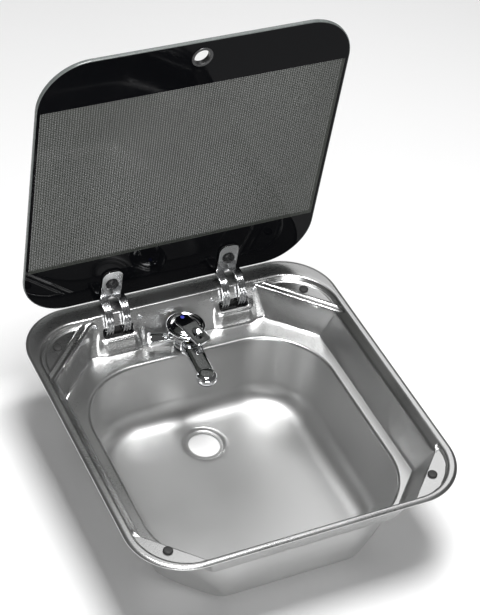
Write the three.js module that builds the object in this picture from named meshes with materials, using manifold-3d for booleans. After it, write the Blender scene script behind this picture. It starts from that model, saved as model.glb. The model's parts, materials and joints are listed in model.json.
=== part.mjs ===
// A drop-in caravan sink: one pressed steel bowl with a sunk tap deck, a hinged glass lid
// on two gooseneck hinges, and a low single-lever mixer tap.
// Millimetres, +X right, +Y towards the hinges, +Z up. z = 0 is the worktop surface that the
// rim rests on, and x = y = 0 is the middle of the rim. The lid stands open.
import * as THREE from 'three';
import { mergeVertices } from 'three/addons/utils/BufferGeometryUtils.js';
import Module from 'manifold-3d';

const wasm = await Module();
wasm.setup();

// ---------- driving dimensions ----------

const RAD = Math.PI / 180;
const GAP = 0.3;                 // between pieces that touch
const CORNER_STEPS = 8;          // facets in a rounded corner of the pressing
const ROUND = 16;                // facets of a small round piece

const rim = {
  width: 420, depth: 440, corner: 69,
  sideMargin: 10.5, backMargin: 30, frontMargin: 8,   // rim edge to recess edge
  innerCorner: 62,
  crest: 3, lip: 1.3, flank: 3.5, sheet: 0.8,
};

const recess = {
  foldDrop: 7, foldRun: 9,       // chamfer below the rim, before the wall proper
  frontFoldRun: 3.2,
  wallRun: 15.5, frontRun: 12,   // how far the side and front walls lean in, fold to floor
  backLean: 0.48,                // lean of the back wall, millimetres in per millimetre down
  floor: -44, floorCorner: 44,
};

const pad = {
  top: -3, groove: 1.5, grooveWidth: 4,
  backReach: 81.7, frontReach: 64.7,   // rim corner to the first bead, along the diagonal
  beadPitch: 8.2, beadHeight: 1.4, beadWidth: 4.2, wallRun: 7,
};

const buffer = { inset: 30, radius: 5.9, height: 3.2, stem: 3, hole: 3.3, flange: 4.6 };

const basin = {
  shelfSide: 14.4, shelfFront: 5, deck: 30.7, corner: 88,
  draft: 10.5, floor: -139, fillet: 30, lipRound: 3,
};

const drain = { fromLip: 69.74, radius: 20.5, seat: 26, seatDepth: 3.5 };

const seal = { inset: 4.2, width: 2.2, thickness: 1.8 };

const lid = {
  side: 394, corner: 62, thickness: 5, lean: 4.46,
  edgeInset: 5.15, edgeHeight: 6.8,    // open: lower edge from the rim's back edge, and height
  closedGap: 3.5,                      // closed: lid edge to the recess edge
  fingerHole: 11.5, fingerInset: 22.5,
};

const grommet = { bore: 9.6, flange: 13.4, lip: 1.2 };

const hinge = {
  x: 80, slotHalf: 21, armOffset: 11.5, armWidth: 10, web: 2, ribWidth: 2.2,
  edgeClearance: 2.2, armDepth: 4, headClearance: 1.2, footClearance: 3,
  pin: 3, eye: 6.5, armInner: 206,
};

const clamp = {
  half: 13.5, foot: 6, height: 50, plate: 2, pad: 1, screwHeight: 28.5, topCorner: 10,
  bridgeHalf: 17, bridge: 3, bridgeArc: 38, arch: 6, archStart: 17,
};

const clampScrew = { cap: 8.5, capHeight: 4.2, shank: 3, hole: 3.4, glassHole: 5, plate: 11.5, nut: 7 };

const housing = { cheek: 2.4, tray: 2, clearance: 1.2, tab: 2, tabWidth: 13, rivetX: 30, rivetZ: -8 };

const rivet = { head: 3.1, headHeight: 1.6, shank: 1.9, hole: 2.2 };

const podium = { project: 8, side: 0.5, draft: 1.5 };

const tap = {
  fromWall: 14.44, hole: 8, base: 12.9, gasket: 1.2, basePlate: 1.6, glideRing: 1, column: 8.8,
  body: 12.5, bodyFoot: 11, flareFoot: 18, collar: 20.4, collarHeight: 27,
};

const spout = {
  turn: -3, reach: 77, width: 23, top: 24, thickness: 10, seam: 37, seamDepth: 0.35,
  neck: 9, head: 13.6, headBottom: 13.4,
};

const lever = {
  pivot: 28, capRadius: 25, capTop: 40.4, skirt: 30.5, capWall: 2.2,
  turn: 18, reach: 37, half: 11.5, thickness: 6.5, tip: 34, pin: 1.5, socketPlay: 1.6,
};

const indicator = { radius: 2.6, depth: 1.6, back: 15.5 };

const tail = { length: 46, turn: -8.6, height: 15.5, root: 4.6, tip: 10.2 };

const aerator = { radius: 11.4, bore: 6.5, height: 3.4 };

const cartridge = { radius: 9.6, bottom: 11.8, top: 18, stem: 4, nutHeight: 3 };

const shank = { radius: 6.5, length: 34, top: 8.2, port: 2.3, portPitch: 3.1, portDepth: 14 };

const tapNut = {
  washer: 12.5, washerThickness: 2.2, plate: 12.8, plateThickness: 1.2, nut: 11.5, nutHeight: 7,
};

// ---------- finishes ----------

const finish = (color, roughness, metalness) =>
  new THREE.MeshStandardMaterial({ color, roughness, metalness });
const STEEL = finish(0xa9abac, 0.34, 1);
const CHROME = finish(0xd9dcde, 0.07, 1);
const GLASS = finish(0x0c0d0f, 0.06, 0);
const RUBBER = finish(0x1b1b1c, 0.8, 0);
const BLACK = finish(0x141415, 0.42, 0);
const BRASS = finish(0xb59a55, 0.4, 1);
const CERAMIC = finish(0xd8d8d4, 0.5, 0);
const BLUE = finish(0x3b3f9c, 0.3, 0);

// ---------- solids ----------

// A closed geometry as a solid whose faces look outwards.
function solid(geometry) {
  const bare = geometry.clone();
  bare.deleteAttribute('normal');
  bare.deleteAttribute('uv');
  const merged = mergeVertices(bare, 1e-4);
  const vertProperties = new Float32Array(merged.attributes.position.array);
  const faces = merged.index.array;
  const build = (triVerts) => new wasm.Manifold(new wasm.Mesh({ numProp: 3, vertProperties, triVerts }));
  const body = build(new Uint32Array(faces));
  return body.volume() > 0 ? body : build(new Uint32Array(faces).reverse());
}

const join = (first, ...rest) => rest.reduce((sum, next) => sum.add(next), first);
const cut = (first, ...rest) => rest.reduce((left, next) => left.subtract(next), first);

function pieceMesh(name, body, material) {
  const data = body.getMesh();
  const geometry = new THREE.BufferGeometry();
  geometry.setAttribute('position', new THREE.BufferAttribute(data.vertProperties, 3));
  geometry.setIndex(new THREE.BufferAttribute(data.triVerts, 1));
  geometry.computeVertexNormals();
  const mesh = new THREE.Mesh(geometry, material);
  mesh.name = name;
  return mesh;
}

// A surface over rings of points, all with the same count. It closes on itself when wrapped,
// and otherwise has a fan over its first and last ring.
function surface(rings, wrapped) {
  const count = rings[0].length;
  const points = rings.flat();
  const faces = [];
  const steps = wrapped ? rings.length : rings.length - 1;
  for (let k = 0; k < steps; k += 1) {
    const here = k * count;
    const next = ((k + 1) % rings.length) * count;
    for (let i = 0; i < count; i += 1) {
      const j = (i + 1) % count;
      faces.push(here + i, here + j, next + j, here + i, next + j, next + i);
    }
  }
  if (!wrapped) {
    addFan(points, faces, 0, count, true);
    addFan(points, faces, (rings.length - 1) * count, count, false);
  }
  const geometry = new THREE.BufferGeometry();
  geometry.setAttribute('position', new THREE.Float32BufferAttribute(points.flat(), 3));
  geometry.setIndex(faces);
  return solid(geometry);
}

function addFan(points, faces, start, count, downward) {
  const ring = points.slice(start, start + count);
  const centre = [0, 1, 2].map((axis) => ring.reduce((sum, point) => sum + point[axis], 0) / count);
  points.push(centre);
  for (let i = 0; i < count; i += 1) {
    const a = start + i;
    const b = start + ((i + 1) % count);
    faces.push(points.length - 1, downward ? b : a, downward ? a : b);
  }
}

// A rounded rectangle, anticlockwise from above, as points at one height.
function outline(box, z) {
  const r = box.corner;
  const corners = [
    [box.halfX - r, box.back - r, 0], [-box.halfX + r, box.back - r, 90],
    [-box.halfX + r, box.front + r, 180], [box.halfX - r, box.front + r, 270],
  ];
  return corners.flatMap(([x, y, start]) => {
    const points = [];
    for (let i = 0; i <= CORNER_STEPS; i += 1) {
      const angle = (start + (90 * i) / CORNER_STEPS) * RAD;
      points.push([x + r * Math.cos(angle), y + r * Math.sin(angle), z]);
    }
    return points;
  });
}

const grown = (box, by) => ({
  halfX: box.halfX + by, back: box.back + by, front: box.front - by, corner: box.corner + by,
});

const block = (x0, x1, y0, y1, z0, z1) => solid(
  new THREE.BoxGeometry(x1 - x0, y1 - y0, z1 - z0)
    .translate((x0 + x1) / 2, (y0 + y1) / 2, (z0 + z1) / 2),
);

// A turned piece about the z axis. Its profile runs from the axis and back to it.
const turned = (profile, steps = ROUND) => new THREE.LatheGeometry(
  profile.map(([r, z]) => new THREE.Vector2(r, z)), steps,
).rotateX(Math.PI / 2);

const rod = (radius, z0, z1, steps = ROUND) =>
  turned([[0, z0], [radius, z0], [radius, z1], [0, z1]], steps);

const ring = (inner, outer, z0, z1, steps = ROUND) =>
  turned([[inner, z0], [outer, z0], [outer, z1], [inner, z1], [inner, z0]], steps);

const hexNut = (half, bore, z0, z1) => (
  cut(solid(rod(half, z0, z1, 6)), solid(rod(bore, z0 - 1, z1 + 1)))
);

const along = (geometry, axis) => (axis === 'x' ? geometry.rotateY(Math.PI / 2)
  : geometry.rotateX(Math.PI / 2));

// A flat outline in the y-z plane, pulled out along x.
function slab(points, x0, x1) {
  const shape = new THREE.Shape(points.map(([y, z]) => new THREE.Vector2(y, z)));
  const pulled = new THREE.ExtrudeGeometry(shape, { depth: x1 - x0, bevelEnabled: false });
  const turn = new THREE.Matrix4().makeBasis(
    new THREE.Vector3(0, 1, 0), new THREE.Vector3(0, 0, 1), new THREE.Vector3(1, 0, 0),
  );
  return solid(pulled.applyMatrix4(turn).translate(x0, 0, 0));
}

// Part of a ring about the x axis; angles are degrees from +y towards +z.
function arcSlab(inner, outer, from, to, x0, x1, steps = 18) {
  const angles = Array.from({ length: steps + 1 }, (_, i) => (from + ((to - from) * i) / steps) * RAD);
  const at = (radius) => (angle) => [radius * Math.cos(angle), radius * Math.sin(angle)];
  return slab([...angles.map(at(outer)), ...angles.reverse().map(at(inner))], x0, x1);
}

const polar = (radius, degrees) => [radius * Math.cos(degrees * RAD), radius * Math.sin(degrees * RAD)];

// ---------- outlines of the pressing ----------

const rimOuter = {
  halfX: rim.width / 2, back: rim.depth / 2, front: -rim.depth / 2, corner: rim.corner,
};

const recessEdge = {
  halfX: rimOuter.halfX - rim.sideMargin,
  back: rimOuter.back - rim.backMargin,
  front: rimOuter.front + rim.frontMargin,
  corner: rim.innerCorner,
};

const backWallY = (z) => recessEdge.back - recess.backLean * (rim.crest - z);
const foldZ = rim.crest - recess.foldDrop;

const recessFold = {
  halfX: recessEdge.halfX - recess.foldRun,
  back: backWallY(foldZ),
  front: recessEdge.front + recess.frontFoldRun,
  corner: rim.innerCorner - recess.foldRun / 2,
};

const recessFloor = {
  halfX: recessFold.halfX - recess.wallRun,
  back: backWallY(recess.floor),
  front: recessFold.front + recess.frontRun,
  corner: recess.floorCorner,
};

const basinLip = {
  halfX: recessFloor.halfX - basin.shelfSide,
  back: recessFloor.back - basin.deck,
  front: recessFloor.front + basin.shelfFront,
  corner: basin.corner,
};

const drainY = basinLip.back - drain.fromLip;
const tapY = recessFloor.back - tap.fromWall;

// ---------- lid pivot ----------

// The lid turns about one line, from its lean to flat. Its open and its closed edge fix
// where that line is.
const swing = 90 - lid.lean;
const openEdge = { y: rimOuter.back - lid.edgeInset, z: lid.edgeHeight };
const closedEdge = { y: recessEdge.back - lid.closedGap, z: pad.top + buffer.height + GAP };

const pivot = (() => {
  const dy = closedEdge.y - openEdge.y;
  const dz = closedEdge.z - openEdge.z;
  const back = 0.5 / Math.tan((swing * RAD) / 2);
  return {
    y: (openEdge.y + closedEdge.y) / 2 - dz * back,
    z: (openEdge.z + closedEdge.z) / 2 + dy * back,
  };
})();

// Lid axes: u runs up the glass from its lower edge, n is its distance behind the pivot.
const lean = lid.lean * RAD;
const edgeFromPivot = { y: openEdge.y - pivot.y, z: openEdge.z - pivot.z };
const glassFront = edgeFromPivot.y * Math.cos(lean) + edgeFromPivot.z * Math.sin(lean);
const glassFoot = edgeFromPivot.z * Math.cos(lean) - edgeFromPivot.y * Math.sin(lean);

const armIn = Math.hypot(recessEdge.back - pivot.y, rim.crest - pivot.z) + hinge.edgeClearance;
const armOut = armIn + hinge.armDepth;

// Height at which a circle about the pivot crosses the back wall of the recess.
function crossing(radius) {
  let low = recess.floor;
  let high = rim.crest;
  for (let i = 0; i < 40; i += 1) {
    const middle = (low + high) / 2;
    const reach = Math.hypot(backWallY(middle) - pivot.y, middle - pivot.z);
    if (reach > radius) low = middle;
    else high = middle;
  }
  return low;
}

const slotTop = crossing(armIn - hinge.headClearance);
const slotFoot = crossing(armOut + hinge.footClearance);
const podiumTop = slotFoot - rim.sheet;

// ---------- sink bowl ----------

const sides = [['left', -1], ['right', 1]];

function bufferSpots() {
  const ends = [['back', recessEdge.back - buffer.inset], ['front', recessEdge.front + buffer.inset]];
  const reach = recessEdge.halfX - buffer.inset;
  return ends.flatMap(([end, y]) => sides.map(([side, sign]) => ({
    name: `lid_buffer_${end}_${side}`, x: sign * reach, y,
  })));
}

// Height against distance from the middle, across the corner pad and down its wall.
function padProfile(firstBead, grow) {
  const far = rim.width / 2;
  const top = pad.top - grow;
  const bead = (centre) => [
    [centre + pad.beadWidth / 2, top], [centre + pad.beadWidth / 6, top + pad.beadHeight],
    [centre - pad.beadWidth / 6, top + pad.beadHeight], [centre - pad.beadWidth / 2, top],
  ];
  const wallTop = firstBead - pad.beadPitch - pad.beadWidth / 2 + grow;
  return [
    [firstBead + far, recess.floor - 9], [firstBead + far, top],
    ...bead(firstBead + grow), ...bead(firstBead - pad.beadPitch + grow).slice(0, 3),
    [wallTop, top - 1],
    [wallTop - pad.wallRun, recess.floor - grow], [wallTop - pad.wallRun, recess.floor - 9],
  ];
}

// The four raised corners, as blocks that fill the recess under them.
function cornerPads(grow) {
  const diagonal = (rimOuter.halfX + rimOuter.back) / Math.SQRT2;
  const shelf = surface([
    outline(grown(recessEdge, -pad.grooveWidth - grow), recess.floor - 10),
    outline(grown(recessEdge, -pad.grooveWidth - grow), rim.crest),
  ]);
  const under = block(
    -rim.width, rim.width, -rim.depth, rim.depth, recess.floor - 10, pad.top - pad.groove - grow,
  );
  const pads = [];
  for (const [reach, turns] of [[pad.backReach, [45, 135]], [pad.frontReach, [225, 315]]]) {
    for (const angle of turns) {
      const bar = slab(padProfile(diagonal - reach, grow), -rim.width / 2, rim.width / 2)
        .rotate([0, 0, angle - 90]);
      pads.push(join(bar.intersect(shelf), bar.intersect(under)));
    }
  }
  return join(...pads);
}

function podiumBlock(side, grow) {
  const half = hinge.slotHalf + podium.side - grow;
  const rings = [
    [recess.floor - 9, podium.draft, podium.project], [podiumTop - grow, 0, podium.project / 2],
  ].map(([z, flare, out]) => {
    const front = backWallY(Math.max(z, recess.floor)) - out - podium.project / 2 + grow;
    const box = { halfX: half + flare, back: recessEdge.back + 4, front, corner: 5 };
    return outline(box, z).map(([x, y, height]) => [x + side * hinge.x, y, height]);
  });
  return surface(rings);
}

// The hollow that the top face of the sheet encloses, grown outwards by the sheet for its back.
function hollow(grow) {
  const lower = recess.floor - grow;
  const top = surface([
    outline(grown(recessFloor, grow), lower),
    outline(grown(recessFold, grow), foldZ - grow / 2),
    outline(grown(recessEdge, grow), rim.crest - 0.6),
    outline(grown(recessEdge, grow), rim.crest + 1),
  ]);
  const shaped = cut(top, cornerPads(grow), podiumBlock(-1, grow), podiumBlock(1, grow));
  return join(shaped, basinHollow(grow));
}

function basinHollow(grow) {
  const wallEnd = basin.floor + basin.fillet;
  const rings = [];
  const steps = 6;
  for (let i = 0; i <= steps; i += 1) {
    const angle = (i / steps) * 90 * RAD;
    const inset = basin.draft + basin.fillet * (1 - Math.sin(angle)) - grow * Math.sin(angle);
    rings.push([inset, wallEnd - (basin.fillet + grow) * Math.cos(angle)]);
  }
  rings.push([-grow, recess.floor - basin.lipRound]);
  rings.push([-grow - basin.lipRound * 0.3, recess.floor - basin.lipRound * 0.3 - grow / 2]);
  rings.push([-grow - basin.lipRound, recess.floor]);
  rings.push([-grow - basin.lipRound, recess.floor + 0.5]);
  return surface(rings.map(([inset, z]) => outline(grown(basinLip, -inset), z)));
}

function rimFlange() {
  const crestEdge = grown(recessEdge, rim.sheet);
  const top = [
    outline(rimOuter, 0), outline(rimOuter, rim.lip), outline(grown(rimOuter, -1.2), rim.lip + 0.7),
    outline(grown(rimOuter, -rim.flank), rim.crest), outline(grown(recessEdge, 1.5), rim.crest),
    outline(recessEdge, rim.crest - 0.6), outline(recessEdge, rim.crest - 2),
  ];
  const under = [
    outline(crestEdge, rim.crest - 2), outline(crestEdge, rim.crest - 1.1),
    outline(grown(crestEdge, 1), rim.crest - rim.sheet),
    outline(grown(rimOuter, -rim.flank - 0.4), rim.crest - rim.sheet),
    outline(grown(rimOuter, -1.6), rim.lip), outline(grown(rimOuter, -rim.sheet), 0),
  ];
  return surface([...top, ...under].reverse(), true);
}

function drainSeat() {
  const { seat, seatDepth, radius } = drain;
  const z = basin.floor;
  const dish = turned([[0, z + 1], [seat + 1.5, z + 1], [seat + 1.5, z], [seat - 1.5, z - seatDepth],
    [0, z - seatDepth]].reverse());
  const cup = turned([[0, z - 0.2], [seat + 2.8, z - 0.2], [seat + 2.8, z - rim.sheet],
    [seat - 0.9, z - seatDepth - rim.sheet], [0, z - seatDepth - rim.sheet]].reverse());
  return {
    dish: solid(dish.translate(0, drainY, 0)),
    cup: solid(cup.translate(0, drainY, 0)),
    hole: solid(rod(radius, z - 10, z + 4, 40).translate(0, drainY, 0)),
  };
}

function hingeSlot(side) {
  const shape = [
    [backWallY(slotFoot) - podium.project - 6, slotFoot], [recessEdge.back + 3, slotFoot],
    [recessEdge.back + 3, slotTop], [backWallY(slotTop) - 6, slotTop],
  ];
  const x = side * hinge.x;
  return slab(shape, x - hinge.slotHalf, x + hinge.slotHalf);
}

// Axis across the back wall, where the rivets sit.
const wallTilt = Math.atan(recess.backLean);
const rivetPlaces = [-1, 1].flatMap((side) => [-1, 1].map((end) => ({
  name: `rivet_${side < 0 ? 'left' : 'right'}_${side * end > 0 ? 'outer' : 'inner'}`,
  x: side * hinge.x + end * housing.rivetX,
})));

function onWall(geometry, x, z) {
  return geometry.rotateX(Math.PI / 2 - wallTilt).translate(x, backWallY(z), z);
}

function sinkBowl() {
  const { dish, cup, hole } = drainSeat();
  const shell = cut(join(hollow(rim.sheet), cup), hollow(0), dish, hole);
  const top = block(-rim.width, rim.width, -rim.depth, rim.depth, rim.crest - 0.7, rim.crest + 20);
  const holes = [
    ...bufferSpots().map(({ x, y }) => solid(
      rod(buffer.hole, pad.top - 6, pad.top + 4).translate(x, y, 0),
    )),
    ...rivetPlaces.map(({ x }) => solid(onWall(rod(rivet.hole, -6, 6), x, housing.rivetZ))),
    hingeSlot(-1), hingeSlot(1),
    solid(rod(tap.hole, recess.floor - 5, recess.floor + 5).translate(0, tapY, 0)),
  ];
  return cut(join(cut(shell, top), rimFlange()), ...holes);
}

function flangeSeal() {
  const outer = grown(rimOuter, -seal.inset);
  const inner = grown(outer, -seal.width);
  return surface([
    outline(outer, seal.thickness), outline(inner, seal.thickness), outline(inner, 0), outline(outer, 0),
  ].reverse(), true);
}

function lidBuffer() {
  const base = pad.top;
  const under = base - rim.sheet - GAP;
  return solid(turned([
    [0, under - 1.6], [buffer.flange - 1, under - 1.6], [buffer.flange, under],
    [buffer.stem, under], [buffer.stem, base + GAP], [buffer.radius, base + GAP],
    [buffer.radius, base + 1.4], [buffer.radius - 1.2, base + buffer.height - 0.6],
    [buffer.radius - 2.6, base + buffer.height], [0, base + buffer.height],
  ]));
}

// ---------- lid and hinges ----------

// Turned about y and standing at a height on the lid, for holes and screws through the glass.
const throughLid = (geometry, x, height) =>
  solid(along(geometry, 'y').rotateX(Math.PI).translate(x, 0, glassFoot + height));

function glassLid() {
  const box = { halfX: lid.side / 2, back: lid.side, front: 0, corner: lid.corner };
  const face = (y, inset) => outline(grown(box, -inset), 0)
    .map(([x, height]) => [x, y, glassFoot + height]);
  const glass = surface([
    face(glassFront, 0.6), face(glassFront + 0.6, 0),
    face(glassFront + lid.thickness - 0.6, 0), face(glassFront + lid.thickness, 0.6),
  ].reverse());
  const clampHole = rod(clampScrew.glassHole, glassFront - 5, glassFront + 15);
  return cut(
    glass,
    throughLid(rod(lid.fingerHole, glassFront - 5, glassFront + 15, 28), 0, lid.side - lid.fingerInset),
    throughLid(clampHole.clone(), -hinge.x, clamp.screwHeight),
    throughLid(clampHole.clone(), hinge.x, clamp.screwHeight),
  );
}

function fingerGrommet() {
  const front = glassFront - GAP;
  const back = glassFront + lid.thickness + GAP;
  const barrel = lid.fingerHole - GAP;
  return throughLid(turned([
    [grommet.bore + 0.8, front - grommet.lip], [grommet.flange - 0.6, front - grommet.lip],
    [grommet.flange, front], [barrel, front], [barrel, back], [grommet.flange, back],
    [grommet.flange - 0.6, back + grommet.lip], [grommet.bore + 0.8, back + grommet.lip],
    [grommet.bore, back], [grommet.bore, front], [grommet.bore + 0.8, front - grommet.lip],
  ], 28), 0, lid.side - lid.fingerInset);
}

const tabBack = glassFront - GAP - clamp.pad - GAP;
const tabFront = tabBack - clamp.plate;

// A plate on the glass, with its two upper corners rounded.
function tabPlate(half, foot, top, y0, y1, corner) {
  const shape = new THREE.Shape();
  shape.moveTo(-half, glassFoot + foot);
  shape.lineTo(half, glassFoot + foot);
  shape.lineTo(half, glassFoot + top - corner);
  shape.absarc(half - corner, glassFoot + top - corner, corner, 0, Math.PI / 2);
  shape.lineTo(-half + corner, glassFoot + top);
  shape.absarc(-half + corner, glassFoot + top - corner, corner, Math.PI / 2, Math.PI);
  const options = { depth: y1 - y0, bevelEnabled: false, curveSegments: 8 };
  const plate = new THREE.ExtrudeGeometry(shape, options);
  return solid(plate.rotateX(Math.PI / 2).translate(0, y1, 0));
}

const shankHole = () => throughLid(rod(clampScrew.hole, 0, glassFront + 20), 0, clamp.screwHeight);
const bridgeInner = armIn + hinge.web + GAP;
const bridgeOuter = bridgeInner + clamp.bridge;
const bridgeStart = Math.acos(tabFront / bridgeOuter) / RAD - 3;
const bridgeEnd = bridgeStart + clamp.bridgeArc;

// The tab on the glass, folded forwards at its foot over the two arms, with an arch between.
function lidClamp() {
  const { half, foot, height, topCorner, bridgeHalf, arch, archStart } = clamp;
  const plate = tabPlate(half, foot, height, tabFront, tabBack, topCorner);
  const bridge = arcSlab(bridgeInner, bridgeOuter, bridgeStart, bridgeEnd, -bridgeHalf, bridgeHalf, 10);
  const crown = bridgeStart + archStart;
  const opening = arcSlab(armIn, armOut + 5, crown, bridgeEnd + 3, -arch, arch, 6);
  const roundTop = solid(rod(arch, armIn, armOut + 5, 24).rotateX((crown - 90) * RAD));
  const behind = block(-40, 40, tabBack, tabBack + 30, 0, glassFoot + 90);
  return cut(join(plate, cut(bridge, opening, roundTop, behind)), shankHole());
}

function gooseneckArm(offset) {
  const x0 = offset - hinge.armWidth / 2;
  const x1 = offset + hinge.armWidth / 2;
  const inner = hinge.armInner - lid.lean;
  const web = arcSlab(armIn, armIn + hinge.web, 60, inner, x0, x1, 11);
  const ribs = [x0, offset - hinge.ribWidth / 2, x1 - hinge.ribWidth].map(
    (x) => arcSlab(armIn, armOut, bridgeEnd + 0.8, inner, x, x + hinge.ribWidth, 11),
  );
  const [tipY, tipZ] = polar(armIn + 2, inner - 4);
  const square = polar(hinge.eye * 0.8, inner - 94);
  const spoke = slab([
    [square[0], square[1]], [-square[0], -square[1]],
    [tipY - square[0], tipZ - square[1]], [tipY + square[0], tipZ + square[1]],
  ].reverse(), x0, x1);
  const eye = solid(along(rod(hinge.eye, x0, x1), 'x'));
  const bore = solid(along(rod(hinge.pin + GAP, x0 - 1, x1 + 1), 'x'));
  const behindTab = block(-60, 60, tabFront - GAP, tabFront + 40, 0, glassFoot + 60);
  const beyond = cut(spoke, arcSlab(armOut, armOut + 20, inner - 40, inner + 40, x0 - 1, x1 + 1, 8));
  return cut(join(cut(web, behindTab), ...ribs, beyond, eye), bore);
}

function clampPad(front) {
  const y0 = front ? tabBack + GAP : glassFront + lid.thickness + GAP;
  const plate = front
    ? tabPlate(clamp.half - 0.6, 5, clamp.height - 0.6, y0, y0 + clamp.pad, clamp.topCorner - 0.6)
    : throughLid(rod(clampScrew.plate - 0.6, y0, y0 + clamp.pad), 0, clamp.screwHeight);
  return cut(plate, shankHole());
}

const backPlateY = glassFront + lid.thickness + clamp.pad + 2 * GAP;

function clampBackPlate() {
  return cut(
    throughLid(turned([[0, backPlateY], [clampScrew.plate, backPlateY],
      [clampScrew.plate, backPlateY + 1.2], [clampScrew.plate - 0.8, backPlateY + clamp.plate],
      [0, backPlateY + clamp.plate]]), 0, clamp.screwHeight),
    shankHole(),
  );
}

const nutY = backPlateY + clamp.plate + GAP;
const screwEnd = nutY + 4.4;

function clampScrewBody() {
  const front = tabFront - GAP;
  const { cap, capHeight, shank: shaft } = clampScrew;
  return throughLid(turned([
    [0, front - capHeight + 0.5], [3, front - capHeight + 0.5], [3.6, front - capHeight],
    [cap - 1, front - capHeight], [cap, front - capHeight + 1], [cap, front],
    [shaft, front], [shaft, screwEnd], [0, screwEnd],
  ]), 0, clamp.screwHeight);
}

function clampNut() {
  const { nut, shank: shaft } = clampScrew;
  const hexagon = turned([
    [0, nutY], [nut, nutY], [nut, nutY + 4], [nut - 1.4, nutY + 5.6], [0, nutY + 5.6],
  ], 6);
  return cut(
    throughLid(hexagon, 0, clamp.screwHeight),
    throughLid(rod(shaft + GAP, nutY - 1, screwEnd + GAP), 0, clamp.screwHeight),
  );
}

const cheekIn = hinge.slotHalf - housing.cheek;
const trayIn = armOut + housing.clearance;

// Moulded box behind the slot: two cheeks for the pin, a curved tray, and two riveted tabs.
function hingeHousing() {
  const trayOut = trayIn + housing.tray;
  const fan = (x0, x1) => arcSlab(0.01, trayOut, 178, 285, x0, x1, 8);
  const boss = (x0) => solid(along(rod(hinge.eye + 1, x0, x0 + housing.cheek), 'x'));
  const cheeks = [-hinge.slotHalf, cheekIn].map((x0) => join(fan(x0, x0 + housing.cheek), boss(x0)));
  const tray = arcSlab(trayIn, trayOut, 214, 285, -hinge.slotHalf, hinge.slotHalf, 6);
  const bore = solid(along(rod(hinge.pin + GAP, -40, 40), 'x'));
  return cut(join(...cheeks, tray, ...housingTabs()), wallSide(), bore, ...tabBores());
}

// Everything on the visible side of the back wall, with a gap to the sheet.
function wallSide() {
  const wall = (z) => backWallY(z) + (rim.sheet + GAP) / Math.cos(wallTilt) - pivot.y;
  const top = rim.crest - rim.sheet - GAP;
  const foot = recess.floor;
  return slab([
    [wall(top) - 60, top - pivot.z + 20], [40, top - pivot.z + 20], [40, -GAP - pivot.z],
    [wall(top), -GAP - pivot.z], [wall(foot), foot - pivot.z], [wall(foot) - 60, foot - pivot.z],
  ].reverse(), -60, 60);
}

const rivetFromPivot = housing.rivetZ - pivot.z;

const fromWall = (geometry, x) => geometry.rotateX(Math.PI / 2 - wallTilt)
  .translate(x, backWallY(housing.rivetZ) - pivot.y, rivetFromPivot);

function housingTabs() {
  const depth = rim.sheet + GAP;
  const half = housing.tabWidth / 2;
  return [-1, 1].map((end) => {
    const outer = end * (housing.rivetX + half);
    const inner = end * (hinge.slotHalf - housing.cheek / 2);
    const width = Math.abs(outer - inner);
    const plate = new THREE.BoxGeometry(width, housing.tabWidth, housing.tab)
      .translate((outer + inner) / 2, -half + 3.5, -depth - housing.tab / 2);
    return solid(fromWall(plate, 0));
  });
}

const tabBores = () => [-1, 1].map((end) => (
  solid(fromWall(rod(rivet.hole, -12, 12), end * housing.rivetX))
));

function rivetBody() {
  const back = -rim.sheet - GAP - housing.tab - GAP;
  return turned([
    [0, back - 1.2], [rivet.head - 0.4, back - 1.2], [rivet.head - 0.4, back], [rivet.shank, back],
    [rivet.shank, GAP], [rivet.head, GAP], [rivet.head, GAP + 0.6],
    [rivet.head - 1.1, GAP + rivet.headHeight], [1.2, GAP + rivet.headHeight],
    [1.2, GAP + rivet.headHeight - 0.7], [0, GAP + rivet.headHeight - 0.7],
  ], 16);
}

function hingePin() {
  const end = hinge.slotHalf + GAP;
  return solid(along(turned([
    [0, -end - 2], [hinge.pin + 1.6, -end - 2], [hinge.pin + 1.6, -end], [hinge.pin, -end],
    [hinge.pin, end], [hinge.pin + 1.6, end], [hinge.pin + 1.6, end + 1.5], [0, end + 1.5],
  ], 20), 'x'));
}

function frictionWasher(end) {
  const armSide = hinge.armOffset + hinge.armWidth / 2 + GAP;
  const span = [armSide, cheekIn - GAP].map((x) => x * end).sort((a, b) => a - b);
  return solid(along(ring(hinge.pin + GAP, hinge.eye - 0.5, ...span), 'x'));
}

const swingingHingePieces = (sign) => ({
  lid_clamp: [lidClamp(), STEEL],
  clamp_front_pad: [clampPad(true), RUBBER],
  clamp_back_pad: [clampPad(false), RUBBER],
  clamp_back_plate: [clampBackPlate(), STEEL],
  clamp_screw: [clampScrewBody(), BLACK],
  clamp_nut: [clampNut(), STEEL],
  gooseneck_arm_outer: [gooseneckArm(sign * hinge.armOffset), CHROME],
  gooseneck_arm_inner: [gooseneckArm(-sign * hinge.armOffset), CHROME],
});

const fixedHingePieces = (sign) => ({
  hinge_housing: [hingeHousing(), BLACK],
  hinge_pin: [hingePin(), STEEL],
  friction_washer_outer: [frictionWasher(sign), CERAMIC],
  friction_washer_inner: [frictionWasher(-sign), CERAMIC],
});

// ---------- mixer tap ----------

// All tap pieces stand on z = 0 at the top of the deck, with the tap's axis on x = y = 0.

const plateTop = tap.gasket + 2 * GAP + tap.basePlate;
const glideTop = plateTop + GAP + tap.glideRing;
const boreSide = cartridge.radius + GAP;

// Outside of the fixed body, as a profile that the spout keeps clear of.
const bodyProfile = (grow) => [
  [0, tap.bodyFoot - grow], [tap.body + grow, tap.bodyFoot - grow], [tap.body + grow, tap.flareFoot],
  [tap.collar - 1.6 + grow, tap.flareFoot + 3 - grow], [tap.collar + grow, tap.flareFoot + 4.5 - grow],
  [tap.collar + grow, tap.collarHeight - 1.5], [tap.collar - 1.5 + grow, tap.collarHeight + grow],
  [0, tap.collarHeight + grow],
];

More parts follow.
